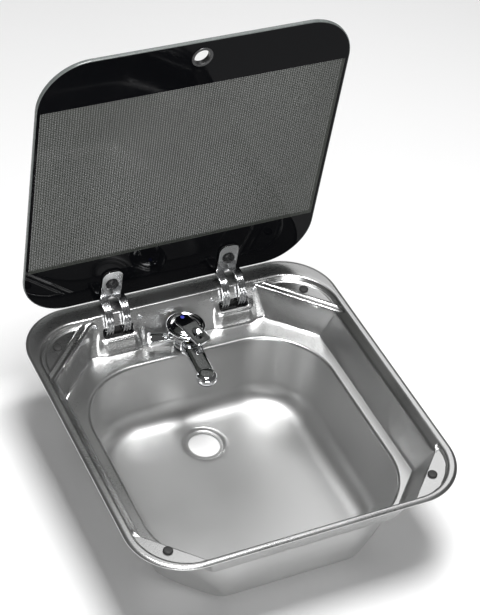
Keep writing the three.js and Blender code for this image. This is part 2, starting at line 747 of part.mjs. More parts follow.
function tapBody() {
  const column = rod(tap.column, plateTop - tap.basePlate - GAP / 2, tap.bodyFoot + 1);
  return cut(
    join(solid(turned(bodyProfile(0), 36)), solid(column), tailCasting()),
    solid(rod(boreSide, cartridge.bottom - GAP, tap.collarHeight + 5)),
    solid(rod(shank.radius + GAP, -1, shank.top + GAP)),
  );
}

// The flared wing on the left of the body.
function tailCasting() {
  const steps = 7;
  const flare = Array.from({ length: steps + 1 }, (_, i) => {
    const t = i / steps;
    return [tail.root + (tail.tip - tail.root) * t * t, tail.length * (0.2 + 0.8 * t)];
  });
  const horn = turned([
    [0, boreSide], [tail.root, boreSide], ...flare,
    [tail.tip - 0.8, tail.length + 0.8], [0, tail.length + 1.2],
  ], 24);
  return solid(horn.rotateY(-Math.PI / 2).rotateZ(tail.turn * RAD).translate(0, 0, tail.height));
}

// A section across the spout: a rectangle with well rounded sides.
function spoutSection(y, half, thickness, z) {
  const steps = 20;
  return Array.from({ length: steps }, (_, i) => {
    const angle = (i / steps) * 2 * Math.PI;
    const cos = Math.cos(angle);
    const sin = Math.sin(angle);
    const bulge = 1 / (Math.abs(cos) ** 3 + Math.abs(sin) ** 3) ** (1 / 3);
    return [half * bulge * cos, y, z + (thickness / 2) * bulge * sin];
  });
}

// A ring round the foot of the body, a neck, the barrel and the head that turns down.
function tapSpout() {
  const half = spout.width / 2;
  const thick = spout.thickness;
  const middle = spout.top - thick / 2;
  const groove = spout.seamDepth;
  const barrel = surface([
    spoutSection(-12, half, thick, middle),
    spoutSection(-spout.seam + 0.6, half, thick, middle),
    spoutSection(-spout.seam + 0.4, half - groove, thick - 2 * groove, middle),
    spoutSection(-spout.seam - 0.4, half - groove, thick - 2 * groove, middle),
    spoutSection(-spout.seam - 0.6, half, thick, middle),
    spoutSection(-spout.reach + 12, half - 0.4, thick - 0.6, middle - 0.4),
    spoutSection(-spout.reach, half - 1, thick - 2, middle - 1.4),
  ]);
  const head = turned([
    [0, spout.headBottom], [spout.head - 0.6, spout.headBottom], [spout.head, spout.headBottom + 1],
    [spout.head, middle], [spout.head - 1.2, middle + 3.6], [spout.head - 4.4, middle + 5.6],
    [0, middle + 6.2],
  ]).translate(0, -spout.reach, 0);
  const foot = rod(tap.base, glideTop + GAP, tap.bodyFoot - GAP, 36);
  const neck = block(-spout.neck, spout.neck, -24, -8, glideTop + GAP, middle);
  const outlet = rod(aerator.bore, -20, spout.headBottom + 6).translate(0, -spout.reach, 0);
  return cut(
    join(barrel, solid(head), solid(foot), neck),
    solid(turned(bodyProfile(GAP), 36)),
    solid(rod(tap.column + GAP, 0, tap.bodyFoot)),
    solid(outlet),
  );
}

function tapAerator() {
  const top = spout.headBottom - GAP;
  const foot = top - aerator.height;
  return solid(turned([
    [0, top - 1.5], [aerator.bore - 0.8, top - 1.5], [aerator.bore - 0.8, foot],
    [aerator.radius - 0.5, foot], [aerator.radius, foot + 0.6], [aerator.radius, top], [0, top],
  ]).translate(0, -spout.reach, 0));
}

function tapShank() {
  const port = (x) => solid(rod(shank.port, -shank.length - 1, -shank.length + shank.portDepth, 14)
    .translate(x, 0, 0));
  return cut(
    solid(rod(shank.radius, -shank.length, shank.top)), port(-shank.portPitch), port(shank.portPitch),
  );
}

function cartridgeBody() {
  const { radius, bottom, top, stem } = cartridge;
  return solid(turned([
    [0, bottom], [radius, bottom], [radius, top], [stem + 3, top], [stem + 3, top - 2], [0, top - 2],
  ]));
}

// The stem turns with the lever, and the lever tips on its cross bore.
function cartridgeStem() {
  const post = solid(rod(cartridge.stem, cartridge.top - 2 + GAP, lever.pivot + 3, 16));
  const bore = along(rod(lever.pin + GAP, -10, 10, 14), 'x').translate(0, 0, lever.pivot);
  return cut(post, solid(bore));
}

function tapLever() {
  const { capRadius, capTop, skirt, capWall, pivot: centre, reach, pin } = lever;
  const socketBore = cartridge.stem + lever.socketPlay;
  const dome = (foot, wall) => solid(turned([
    [0, foot], [capRadius - wall, foot], [capRadius - wall, skirt + 2],
    [capRadius - 1.2 - wall, skirt + 4.4], [capRadius - 4.6 - wall, capTop - 2 - wall / 2],
    [capRadius - 10, capTop - 0.6 - wall], [0, capTop - wall],
  ], 32));
  const dimple = new THREE.SphereGeometry(1, 18, 10).scale(6.2, 8.4, 2.2)
    .translate(0, -reach + 12.5, lever.tip + 3.2);
  const dotSeat = rod(indicator.radius + GAP, capTop - indicator.depth, capTop + 5)
    .translate(0, indicator.back, 0);
  const crossPin = along(rod(pin, -socketBore - 1, socketBore + 1, 14), 'x').translate(0, 0, centre);
  return cut(
    join(
      cut(join(dome(skirt, 0), leverBlade()), dome(skirt - 3, capWall)),
      solid(ring(socketBore, socketBore + 2.4, centre - pin, capTop - 1, 20)),
      solid(crossPin),
    ),
    solid(dimple), solid(dotSeat),
  );
}

// The tongue, from behind the dome's middle to its tip.
function leverBlade() {
  const { reach, half, thickness, capTop, tip } = lever;
  const station = (y, wide, thick) => {
    const top = capTop + 0.4 + (Math.min(y, 0) * (capTop - tip)) / reach;
    return [
      [-wide, y, top - 1.2], [-wide + 1.4, y, top], [wide - 1.4, y, top], [wide, y, top - 1.2],
      [wide - 0.6, y, top - thick], [-wide + 0.6, y, top - thick],
    ];
  };
  return surface([
    station(19, half - 4, 4), station(14, half - 0.6, 5), station(0, half, 6),
    station(-reach + 14, half, thickness), station(-reach + 3, half - 1.4, thickness - 1.6),
    station(-reach, half - 4, 3),
  ]);
}

function leverDot() {
  const { radius, depth, back } = indicator;
  return solid(rod(radius, lever.capTop - depth + GAP, lever.capTop + 0.6, 20).translate(0, back, 0));
}

const underDeck = -rim.sheet - GAP;
const washerFoot = underDeck - tapNut.washerThickness;
const plateFoot = washerFoot - GAP - tapNut.plateThickness;
const nutFoot = plateFoot - GAP - tapNut.nutHeight;
const onShank = (radius, z0, z1) => solid(ring(shank.radius + GAP, radius, z0, z1));

const fixedTapPieces = () => ({
  tap_gasket: [solid(ring(tap.hole, tap.base, GAP, GAP + tap.gasket)), RUBBER],
  tap_base_plate: [
    solid(ring(tap.column + GAP, tap.base, plateTop - tap.basePlate, plateTop, 36)), CHROME,
  ],
  tap_glide_ring: [
    solid(ring(tap.column + GAP, tap.base - GAP, plateTop + GAP, glideTop, 36)), CERAMIC,
  ],
  tap_body: [tapBody(), CHROME],
  tap_shank: [tapShank(), BRASS],
  tap_rubber_washer: [onShank(tapNut.washer, washerFoot, underDeck), RUBBER],
  tap_backing_plate: [onShank(tapNut.plate, plateFoot, washerFoot - GAP), STEEL],
  tap_nut: [hexNut(tapNut.nut, shank.radius + GAP, nutFoot, plateFoot - GAP), BRASS],
  cartridge_body: [cartridgeBody(), CERAMIC],
  cartridge_nut: [
    solid(ring(cartridge.stem + 2.4, cartridge.radius, cartridge.top + GAP,
      cartridge.top + GAP + cartridge.nutHeight)),
    BRASS,
  ],
});

const spoutPieces = () => ({
  tap_spout: [tapSpout(), CHROME],
  tap_aerator: [tapAerator(), BLACK],
});

const leverPieces = () => ({
  cartridge_stem: [cartridgeStem(), BRASS],
  tap_lever: [tapLever(), CHROME],
  lever_dot: [leverDot(), BLUE],
});

// ---------- assembly ----------

const sinkUnit = new THREE.Group();

// Adds a group with its own place and turn, and fills it with named pieces.
function addGroup(parent, pieces, suffix = '') {
  const group = new THREE.Group();
  for (const [name, [body, material]] of Object.entries(pieces)) {
    group.add(pieceMesh(name + suffix, body, material));
  }
  parent.add(group);
  return group;
}

addGroup(sinkUnit, { sink_bowl: [sinkBowl(), STEEL], flange_seal: [flangeSeal(), RUBBER] });

for (const { name, x, y } of bufferSpots()) {
  addGroup(sinkUnit, { [name]: [lidBuffer(), RUBBER] }).position.set(x, y, 0);
}

for (const { name, x } of rivetPlaces) {
  addGroup(sinkUnit, { [name]: [solid(onWall(rivetBody(), x, housing.rivetZ)), STEEL] });
}

// Everything that swings with the glass turns about the pivot line.
const lidGroup = addGroup(sinkUnit, {
  glass_lid: [glassLid(), GLASS],
  finger_grommet: [fingerGrommet(), RUBBER],
});
lidGroup.position.set(0, pivot.y, pivot.z);
lidGroup.rotation.x = lean;

for (const [side, sign] of sides) {
  addGroup(lidGroup, swingingHingePieces(sign), `_${side}`).position.x = sign * hinge.x;
  addGroup(sinkUnit, fixedHingePieces(sign), `_${side}`)
    .position.set(sign * hinge.x, pivot.y, pivot.z);
}

const tapGroup = addGroup(sinkUnit, fixedTapPieces());
tapGroup.position.set(0, tapY, recess.floor);
addGroup(tapGroup, spoutPieces()).rotation.z = spout.turn * RAD;
addGroup(tapGroup, leverPieces()).rotation.z = lever.turn * RAD;

export default sinkUnit;
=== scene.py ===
"""Looks of the caravan sink: fine surfaces, materials, studio light and the camera.

Lengths are millimetres until a mesh is made, in the frame of the solids: +X right,
+Y towards the hinges, +Z up, and z = 0 in the worktop's plane.
"""

import json
import math

import bmesh
import bpy
import numpy as np
from mathutils import Matrix, Vector


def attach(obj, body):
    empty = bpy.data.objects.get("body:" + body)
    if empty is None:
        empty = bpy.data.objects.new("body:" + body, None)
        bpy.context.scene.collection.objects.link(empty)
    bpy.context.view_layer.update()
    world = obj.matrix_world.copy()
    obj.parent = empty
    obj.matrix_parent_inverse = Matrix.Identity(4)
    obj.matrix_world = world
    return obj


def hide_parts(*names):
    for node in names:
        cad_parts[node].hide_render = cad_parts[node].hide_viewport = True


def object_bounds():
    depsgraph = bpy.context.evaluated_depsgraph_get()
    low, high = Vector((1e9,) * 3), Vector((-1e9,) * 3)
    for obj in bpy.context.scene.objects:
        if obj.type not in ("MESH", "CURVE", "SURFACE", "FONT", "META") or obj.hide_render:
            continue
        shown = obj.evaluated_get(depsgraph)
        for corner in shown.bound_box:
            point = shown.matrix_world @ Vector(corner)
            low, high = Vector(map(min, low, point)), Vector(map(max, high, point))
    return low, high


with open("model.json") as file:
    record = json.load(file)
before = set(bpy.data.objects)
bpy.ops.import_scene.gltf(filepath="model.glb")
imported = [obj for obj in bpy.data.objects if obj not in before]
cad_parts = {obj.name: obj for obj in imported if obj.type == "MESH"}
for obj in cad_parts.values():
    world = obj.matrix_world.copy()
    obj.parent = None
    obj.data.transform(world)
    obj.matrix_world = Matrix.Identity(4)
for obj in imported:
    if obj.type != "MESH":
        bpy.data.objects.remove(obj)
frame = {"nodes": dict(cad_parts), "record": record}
cad_low, cad_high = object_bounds()
nodes = frame["nodes"]
scene = bpy.context.scene

MM = 0.001
LEFT, RIGHT = SIDES = (-1, 1)
SIDE_NAMES = {LEFT: "left", RIGHT: "right"}

# ---------- camera ----------

FOCAL_PX = 1833.516
IMAGE_LONG_PX = 615
SENSOR_WIDTH = 36
CLIP_END = 20
AZIMUTH, ELEVATION, ROLL = (math.radians(a) for a in (-30.302, 42.043, 7.924))
DISTANCE = 2330.285
TARGET = Vector((74.176, 152.154, 0.0))


def place_camera():
    """Stands the camera where the photo was taken from."""
    data = bpy.data.cameras.new("camera")
    data.sensor_width = SENSOR_WIDTH
    data.lens = FOCAL_PX * SENSOR_WIDTH / IMAGE_LONG_PX
    data.clip_end = CLIP_END
    camera = bpy.data.objects.new("camera", data)
    scene.collection.objects.link(camera)
    back = Vector((
        math.sin(AZIMUTH) * math.cos(ELEVATION),
        -math.cos(AZIMUTH) * math.cos(ELEVATION),
        math.sin(ELEVATION),
    ))
    right = Vector((math.cos(AZIMUTH), math.sin(AZIMUTH), 0))
    up = back.cross(right)
    cos, sin = math.cos(ROLL), math.sin(ROLL)
    turned = Matrix((cos * right + sin * up, cos * up - sin * right, back)).transposed()
    camera.matrix_world = Matrix.Translation((TARGET + back * DISTANCE) * MM) @ turned.to_4x4()
    scene.camera = camera


# ---------- materials ----------

EVEN = (1, 1, 1)
STEEL_TONES = ((0.56, 0.562, 0.56), (0.62, 0.622, 0.62))
STEEL_ROUGHNESS = (0.24, 0.29)
GRAIN_SCALE, GRAIN_ROUGHNESS, GRAIN_DEPTH = (150, 2200, 2200), 0.05, 0.02 * MM
# Roughness added in the basin, and the heights between which it comes in.
BASIN_DULL, DULL_BELOW, BRIGHT_ABOVE = 0.1, -60, -42
SMEAR_SCALE, SMEAR_DARK, SMEAR_ROUGHNESS = 90, 0.93, 0.06
SPECK_SMOOTHER, SPECK_ROUGHER = 0.06, 0.08


def new_material(name, color, roughness, metallic=0.0, **sockets):
    """A material and its shader, with values for more sockets by name."""
    material = bpy.data.materials.new(name)
    material.use_nodes = True
    shader = material.node_tree.nodes["Principled BSDF"]
    shader.inputs["Base Color"].default_value = (*color, 1)
    shader.inputs["Roughness"].default_value = roughness
    shader.inputs["Metallic"].default_value = metallic
    for socket, value in sockets.items():
        shader.inputs[socket.replace("_", " ")].default_value = value
    return material, shader


class Graph:
    """Short ways to add nodes to one material."""

    def __init__(self, material):
        self.tree = material.node_tree
        self.coords = self.tree.nodes.new("ShaderNodeTexCoord").outputs["Object"]

    def link(self, source, target):
        self.tree.links.new(source, target)

    def split(self):
        """The object's own x, y and z, in metres."""
        node = self.tree.nodes.new("ShaderNodeSeparateXYZ")
        self.link(self.coords, node.inputs["Vector"])
        return node.outputs

    def scaled(self, scale, turn=(0, 0, 0)):
        mapping = self.tree.nodes.new("ShaderNodeMapping")
        mapping.inputs["Scale"].default_value = scale
        mapping.inputs["Rotation"].default_value = turn
        self.link(self.coords, mapping.inputs["Vector"])
        return mapping.outputs["Vector"]

    def noise(self, vector, scale, detail=4.0):
        node = self.tree.nodes.new("ShaderNodeTexNoise")
        node.inputs["Scale"].default_value = scale
        node.inputs["Detail"].default_value = detail
        self.link(vector, node.inputs["Vector"])
        return node.outputs["Fac"]

    def ramp(self, value, low, high, start=0.3, end=0.7):
        node = self.tree.nodes.new("ShaderNodeMapRange")
        node.inputs["From Min"].default_value = start
        node.inputs["From Max"].default_value = end
        node.inputs["To Min"].default_value = low
        node.inputs["To Max"].default_value = high
        self.link(value, node.inputs["Value"])
        return node.outputs["Result"]

    def mix(self, factor, first, second):
        node = self.tree.nodes.new("ShaderNodeMix")
        node.data_type = "RGBA"
        node.inputs["A"].default_value = (*first, 1)
        node.inputs["B"].default_value = (*second, 1)
        self.link(factor, node.inputs["Factor"])
        return node.outputs["Result"]

    def math(self, operation, first, second=None):
        node = self.tree.nodes.new("ShaderNodeMath")
        node.operation = operation
        for slot, value in enumerate((first, second)):
            if value is None:
                continue
            if isinstance(value, (int, float)):
                node.inputs[slot].default_value = value
            else:
                self.link(value, node.inputs[slot])
        return node.outputs[0]

    def bump(self, height, distance, strength=1.0):
        node = self.tree.nodes.new("ShaderNodeBump")
        node.inputs["Distance"].default_value = distance
        node.inputs["Strength"].default_value = strength
        self.link(height, node.inputs["Height"])
        return node.outputs["Normal"]


def brushed_steel():
    """Satin steel: a fine grain all over, and a duller finish down in the basin."""
    material, shader = new_material("satin_steel", (0.6, 0.6, 0.6), 0.3, 1.0)
    graph = Graph(material)
    grain = graph.noise(graph.scaled(GRAIN_SCALE), 1.6)
    cloud = graph.noise(graph.scaled(EVEN), 9, 2)
    graph.link(graph.mix(cloud, *STEEL_TONES), shader.inputs["Base Color"])
    height = graph.split()["Z"]
    dull = graph.ramp(height, BASIN_DULL, 0.0, DULL_BELOW * MM, BRIGHT_ABOVE * MM)
    fine = graph.ramp(grain, 0.0, GRAIN_ROUGHNESS)
    rough = graph.math("ADD", graph.ramp(cloud, *STEEL_ROUGHNESS), fine)
    graph.link(graph.math("ADD", rough, dull), shader.inputs["Roughness"])
    graph.link(graph.bump(grain, GRAIN_DEPTH, 0.15), shader.inputs["Normal"])
    return material


def chrome(name, color, roughness):
    """Plated metal with faint smears."""
    material, shader = new_material(name, color, roughness, 1.0)
    graph = Graph(material)
    smear = graph.noise(graph.scaled(EVEN), SMEAR_SCALE, 3)
    darker = tuple(c * SMEAR_DARK for c in color)
    graph.link(graph.mix(smear, color, darker), shader.inputs["Base Color"])
    rough = graph.ramp(smear, roughness, roughness + SMEAR_ROUGHNESS)
    graph.link(rough, shader.inputs["Roughness"])
    return material


def speckled(name, low, high, roughness, scale=900, depth=0.08 * MM, metallic=0.0):
    """A fine grainy surface between two colours, as of rubber, plastic or cast metal."""
    material, shader = new_material(name, low, roughness, metallic)
    graph = Graph(material)
    grain = graph.noise(graph.scaled(EVEN), scale, 2)
    graph.link(graph.mix(grain, low, high), shader.inputs["Base Color"])
    rough = graph.ramp(grain, roughness - SPECK_SMOOTHER, roughness + SPECK_ROUGHER)
    graph.link(rough, shader.inputs["Roughness"])
    graph.link(graph.bump(grain, depth, 0.4), shader.inputs["Normal"])
    return material


# ---------- mesh helpers ----------

def new_mesh(name, shape):
    """A mesh from a shape, which is its points in millimetres and its faces."""
    points, faces = shape
    mesh = bpy.data.meshes.new(name)
    mesh.from_pydata([tuple(p * MM for p in point) for point in points], [], faces)
    return mesh


def new_object(name, mesh):
    piece = bpy.data.objects.new(name, mesh)
    scene.collection.objects.link(piece)
    return piece


def add_mesh(name, shape, body, material, nodes=(), angle=35, outwards=True):
    """Makes a piece from a shape. It rides on a body and stands for CAD nodes."""
    mesh = new_mesh(name, shape)
    if outwards:
        turn_outwards(mesh)
    mesh.update()
    piece = new_object(name, mesh)
    mesh.materials.append(material)
    mesh.shade_smooth()
    mesh.set_sharp_from_angle(angle=math.radians(angle))
    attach(piece, body)
    if nodes:
        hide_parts(*nodes)
    return piece


def turn_outwards(mesh):
    """Turns every closed shell's faces outwards."""
    work = bmesh.new()
    work.from_mesh(mesh)
    bmesh.ops.recalc_face_normals(work, faces=work.faces)
    work.to_mesh(mesh)
    work.free()


def together(*shapes):
    """Several shells as one shape."""
    points, faces = [], []
    for more_points, more_faces in shapes:
        start = len(points)
        points.extend(more_points)
        faces.extend([[i + start for i in face] for face in more_faces])
    return points, faces


def ring_faces(rings, count, closed=False):
    """Quads between rings of equal count, each ring's points following the last one's."""
    first = np.arange(count)
    second = (first + 1) % count
    faces = []
    for k in range(rings if closed else rings - 1):
        here = k * count
        there = ((k + 1) % rings) * count
        quads = np.stack([here + first, here + second, there + second, there + first], axis=1)
        faces.extend(quads.tolist())
    return faces


def loft(rings, closed=False):
    """A shell over rings of points, with a flat face at each end unless it closes on itself."""
    count = len(rings[0])
    faces = ring_faces(len(rings), count, closed)
    if not closed:
        faces.append(list(range(count))[::-1])
        faces.append(list(range(count * (len(rings) - 1), count * len(rings))))
    return [tuple(point) for ring in rings for point in ring], faces


def rounded(path, radius, steps=4, closed=False):
    """A polyline with each corner as a short curve."""
    points = [np.array(point, float) for point in path]
    soft = []
    for k, here in enumerate(points):
        if not closed and k in (0, len(points) - 1):
            soft.append(here)
            continue
        to_last = points[k - 1] - here
        to_next = points[(k + 1) % len(points)] - here
        start = here + to_last * min(radius / np.linalg.norm(to_last), 0.45)
        end = here + to_next * min(radius / np.linalg.norm(to_next), 0.45)
        for t in np.linspace(0, 1, steps + 1):
            soft.append((1 - t) ** 2 * start + 2 * t * (1 - t) * here + t * t * end)
    return soft


def lathe(profile, place, radius=0.3, steps=64, closed=False):
    """A shell turned about the z axis of a place, from (radius, height) pairs, with soft corners.

    An open profile starts and ends on the axis. A closed one makes a ring.
    """
    soft = rounded(profile, radius, closed=closed)
    turn = np.linspace(0, 2 * math.pi, steps, endpoint=False)
    spokes = list(zip(np.cos(turn), np.sin(turn)))
    rings = soft if closed else soft[1:-1]
    points = [place @ Vector((r * c, r * s, z)) for r, z in rings for c, s in spokes]
    faces = ring_faces(len(rings), steps, closed)
    if not closed:
        for end, first in ((soft[0], 0), (soft[-1], steps * (len(rings) - 1))):
            points.append(place @ Vector((0, 0, end[1])))
            faces += [[len(points) - 1, first + i, first + (i + 1) % steps] for i in range(steps)]
    return points, faces


def rounded_box(box, per_side, per_corner):
    """A rounded rectangle (half width, back, front, corner), anticlockwise, as N x 2 points."""
    half, back, front, r = box
    corners = (
        (half - r, back - r, 0), (r - half, back - r, 90),
        (r - half, front + r, 180), (half - r, front + r, 270),
    )
    arcs = []
    for x, y, start in corners:
        turn = np.radians(start + np.linspace(0, 90, per_corner + 1))
        arcs.append(np.stack([x + r * np.cos(turn), y + r * np.sin(turn)], axis=1))
    points = []
    for here, bend in enumerate(arcs):
        target = arcs[(here + 1) % 4][0]
        steps = np.linspace(0, 1, per_side + 1)[1:-1, None]
        points.extend([bend, bend[-1] * (1 - steps) + target * steps])
    return np.concatenate(points)


def circles_facing(outline, middle, radii):
    """Circles about a place, with each point in line with one of an outline's."""
    spokes = outline - middle
    spokes /= np.linalg.norm(spokes, axis=1, keepdims=True)
    return [middle + radius * spokes for radius in radii]


def cut_away(piece, shape, sharp=35):
    """Cuts a closed shape out of the piece."""
    mesh = new_mesh("cutter", shape)
    turn_outwards(mesh)
    tool = new_object("cutter", mesh)
    change = piece.modifiers.new("cut", "BOOLEAN")
    change.operation = "DIFFERENCE"
    change.solver = "MANIFOLD"
    change.object = tool
    apply_modifiers(piece)
    piece.data.set_sharp_from_angle(angle=math.radians(sharp))
    bpy.data.objects.remove(tool)


def apply_modifiers(piece):
    """Puts the piece's shape with its modifiers in the place of its mesh."""
    graph = bpy.context.evaluated_depsgraph_get()
    shaped = bpy.data.meshes.new_from_object(piece.evaluated_get(graph))
    piece.modifiers.clear()
    old = piece.data
    piece.data = shaped
    bpy.data.meshes.remove(old)


def prism(outline, low, high, place):
    """A closed prism: a flat outline between two depths, placed by a function of (a, b, depth)."""
    return loft([[place(a, b, depth) for a, b in outline] for depth in (low, high)])


def circle(radius, steps=48):
    turn = np.linspace(0, 2 * math.pi, steps, endpoint=False)
    return np.stack([radius * np.cos(turn), radius * np.sin(turn)], axis=1)


def arc(radius, start, end, steps):
    turn = np.radians(np.linspace(start, end, steps))
    return np.stack([radius * np.cos(turn), radius * np.sin(turn)], axis=1)


# ---------- bowl ----------
# Boxes are half width, back, front and corner radius, as rounded_box takes them.

SHEET = 0.8
PER_SIDE, PER_CORNER = 200, 96
SPACING, FLOOR_SPACING = 1.3, 3.0
CRISP_RIM, CRISP_DRAIN = 12, 4
BOWL_SHARP = 60
RIM = (210.0, 220.0, -220.0, 69.0)
CREST = 3.0
EDGE = (199.5, 190.0, -212.0, 62.0)
FOLD_Z = -4.0
FLOOR_Z = -44.0
BACK_LEAN = 0.48
BASIN = (160.6, 136.7, -191.8, 88.0)
BASIN_Z = -139.0
BASIN_FILLET = 30.0
BASIN_DRAFT = 10.5
DRAIN_Y = 67.0
DRAIN_R = 20.5
DRAIN_RINGS = ((28.6, BASIN_Z), (27.3, -139.4), (24.9, -142.1), (23.6, -142.5), (DRAIN_R, -142.5))
BACK, FRONT = 1, -1
PAD_REACH = {BACK: 222.36, FRONT: 239.36}
PAD_TOP, EDGE_TOP, EDGE_ROLL = -3.0, 2.2, (0.1, 2.0)
PAD_SOFT, WALL_DROP = 2.5, 0.4
# From the recess edge inwards: where a pad's own shape and its blend with the wall come in.
OWN_FROM, BLEND_FROM, LEAST_BLEND, MORE_BLEND = (0.8, 2.6), (1.5, 6.0), 0.2, 4.8
FRONT_INSET, FRONT_SLOPE, BACK_SLOPE = 1.5, 2.2, 5.9
BEAD_RISE, BEAD_PITCH, BEAD_HALF = 1.2, 8.2, 3.0
EDGE_BEAD, EDGE_BEAD_HALF = 5.4, 2.4
HINGE_X = 80.0
SLOT_HALF, SLOT_LOW, SLOT_HIGH, SLOT_CORNER = 21.0, -23.8, -12.1, 4.0
SLOT_FROM_Y, SLOT_TO_Y = 170, 200
PODIUM_TOP = -24.6
PODIUM_FRONT = 169.5
PODIUM_CORNER, PODIUM_SIDE_SLOPE, PODIUM_SLOPE = 9.0, 0.9, 4.0
PODIUM_SOFT, PODIUM_FLARE = 4.5, 12.0
PODIUM_ZONE = (130, 182, 45)
RIVET_X, RIVET_Z = 30.0, -8.0
BUFFER_INSET = 30.0
TAP_Y = 153.0
TAP_HOLE, HOLE_FROM_Z, HOLE_TO_Z = 8.0, -60, -30


def grown(box, by):
    """A box with each side moved outwards."""
    return (box[0] + by, box[1] + by, box[2] - by, box[3] + by)


def back_wall_y(z):
    """Where the recess's leaning back wall stands at a height."""
    return EDGE[1] - BACK_LEAN * (CREST - z)


def bowl_stations():
    """Boxes and heights from the rim's outer edge to the flat of the basin's floor."""
    fold = (190.5, back_wall_y(FOLD_Z), -208.8, 57.5)
    foot = (175.0, back_wall_y(FLOOR_Z), -196.8, 44.0)
    stations = [
        (grown(RIM, 0.0), 0.0), (grown(RIM, -0.05), 0.8), (grown(RIM, -0.35), 1.35),
        (grown(RIM, -1.2), 1.8), (grown(RIM, -2.2), 2.35), (grown(RIM, -3.2), 2.85),
        (grown(RIM, -4.2), CREST), (grown(EDGE, 2.4), CREST), (grown(EDGE, 1.3), 2.9),
        (grown(EDGE, 0.6), 2.65), (grown(EDGE, 0.0), 2.1), (fold, FOLD_Z), (foot, FLOOR_Z),
        (grown(BASIN, 3.4), FLOOR_Z), (grown(BASIN, 1.5), -44.3), (grown(BASIN, 0.4), -45.4),
        (grown(BASIN, 0.0), -47.5),
    ]
    wall_end = BASIN_Z + BASIN_FILLET
    for turn in np.radians(np.linspace(0, 90, 10)):
        inset = BASIN_DRAFT + BASIN_FILLET * (1 - math.cos(turn))
        stations.append((grown(BASIN, -inset), wall_end - BASIN_FILLET * math.sin(turn)))
    return stations


def bowl_rings():
    """Dense rings, at an even spacing along the pressing's section."""
    rings, heights = [], []
    stations = bowl_stations()
    outlines = [rounded_box(box, PER_SIDE, PER_CORNER) for box, _ in stations]
    floor_edge = len(outlines) - 1
    drain_radii = [radius for radius, _ in DRAIN_RINGS]
    outlines += circles_facing(outlines[-1], np.array((0.0, DRAIN_Y)), drain_radii)
    levels = [z for _, z in stations] + [z for _, z in DRAIN_RINGS]
    for k in range(len(outlines) - 1):
        run = np.linalg.norm(outlines[k + 1] - outlines[k], axis=1).mean()
        spacing = FLOOR_SPACING if k == floor_edge else SPACING
        steps = max(1, round(math.hypot(run, levels[k + 1] - levels[k]) / spacing))
        for t in np.arange(steps) / steps:
            rings.append(outlines[k] * (1 - t) + outlines[k + 1] * t)
            heights.append(levels[k] * (1 - t) + levels[k + 1] * t)
    rings.append(outlines[-1])
    heights.append(levels[-1])
    return soften(np.array(rings), np.array(heights))


def soften(rings, heights, passes=3):
    """Rounds the pressing's bends, but leaves the first rings and the drain hole crisp."""
    first, last = CRISP_RIM, -CRISP_DRAIN
    for _ in range(passes):
        for values in (rings, heights):
            before, here, after = (
                values[first - 1:last - 1], values[first:last], values[first + 1:last + 1],
            )
            values[first:last] = (before + 2 * here + after) / 4
    return rings, heights


def smooth_step(value, low, high):
    """Rises from 0 at low to 1 at high, level at both ends."""
    t = np.clip((value - low) / (high - low), 0, 1)
    return t * t * (3 - 2 * t)


def soft_max(a, b, width):
    """The greater of two heights, with the crease between them filled over a width."""
    overlap = np.maximum(width - np.abs(a - b), 0) / width
    return np.maximum(a, b) + overlap ** 2 * width / 4


def soft_min(a, b, width):
    return -soft_max(-a, -b, width)


def inside_edge(x, y):
    """Distance inwards from the recess edge."""
    half, back, front, r = EDGE
    qx = np.abs(x) - (half - r)
    qy = np.abs(y - (back + front) / 2) - ((back - front) / 2 - r)
    outside = np.hypot(np.maximum(qx, 0), np.maximum(qy, 0)) + np.minimum(np.maximum(qx, qy), 0) - r
    return -outside


def bead(distance, half):
    """The rise of a pressed bead at a distance from its middle."""
    round_top = np.cos(distance / half * math.pi / 2) ** 2
    return BEAD_RISE * np.where(np.abs(distance) < half, round_top, 0)


def with_pads(x, y, z):
    """Raises the four corners: plain pads in front, pads with a beaded outline at the back."""
    inward = inside_edge(x, y)
    for end, reach in PAD_REACH.items():
        across = (np.abs(x) + end * y) / math.sqrt(2)
        top = np.full_like(z, PAD_TOP)
        brink, slope = reach + FRONT_INSET, FRONT_SLOPE
        if end == BACK:
            brink, slope = reach - BEAD_PITCH - BEAD_HALF, BACK_SLOPE
            beads = bead(across - reach, BEAD_HALF) + bead(across - reach + BEAD_PITCH, BEAD_HALF)
            outline = bead(inward - EDGE_BEAD, EDGE_BEAD_HALF)
            outline = outline * smooth_step(across, reach - 2, reach)
            top = top + np.maximum(beads, outline)
        top = EDGE_TOP + (top - EDGE_TOP) * smooth_step(inward, *EDGE_ROLL)
        wall = PAD_TOP - WALL_DROP + (across - brink) * slope
        raised = soft_min(top, wall, PAD_SOFT)
        own = smooth_step(across, brink - 0.5, brink + 2.5) * smooth_step(inward, *OWN_FROM)
        blend = LEAST_BLEND + MORE_BLEND * smooth_step(inward, *BLEND_FROM)
        z = np.where(inward > 0, soft_max(z, raised, blend) * (1 - own) + raised * own, z)
    return z


def with_podiums(x, y, z):
    """Raises the two blocks under the hinge slots: soft at the edges, flared at the foot."""
    off_middle = np.abs(np.abs(x) - HINGE_X)
    over_side = (off_middle - (SLOT_HALF - SLOT_CORNER)) * PODIUM_SIDE_SLOPE
    over_front = PODIUM_FRONT + PODIUM_CORNER - y
    beyond = np.hypot(np.maximum(over_side, 0), np.maximum(over_front, 0)) - PODIUM_CORNER
    beyond = beyond + np.minimum(np.maximum(over_side, over_front), 0)
    side_wall = PODIUM_TOP - PODIUM_SLOPE * beyond
    block = soft_min(side_wall, np.full_like(z, PODIUM_TOP), PODIUM_SOFT)
    front, back, half = PODIUM_ZONE
    zone = (y > front) & (y < back) & (off_middle < half)
    return np.where(zone, soft_max(z, block, PODIUM_FLARE), z)


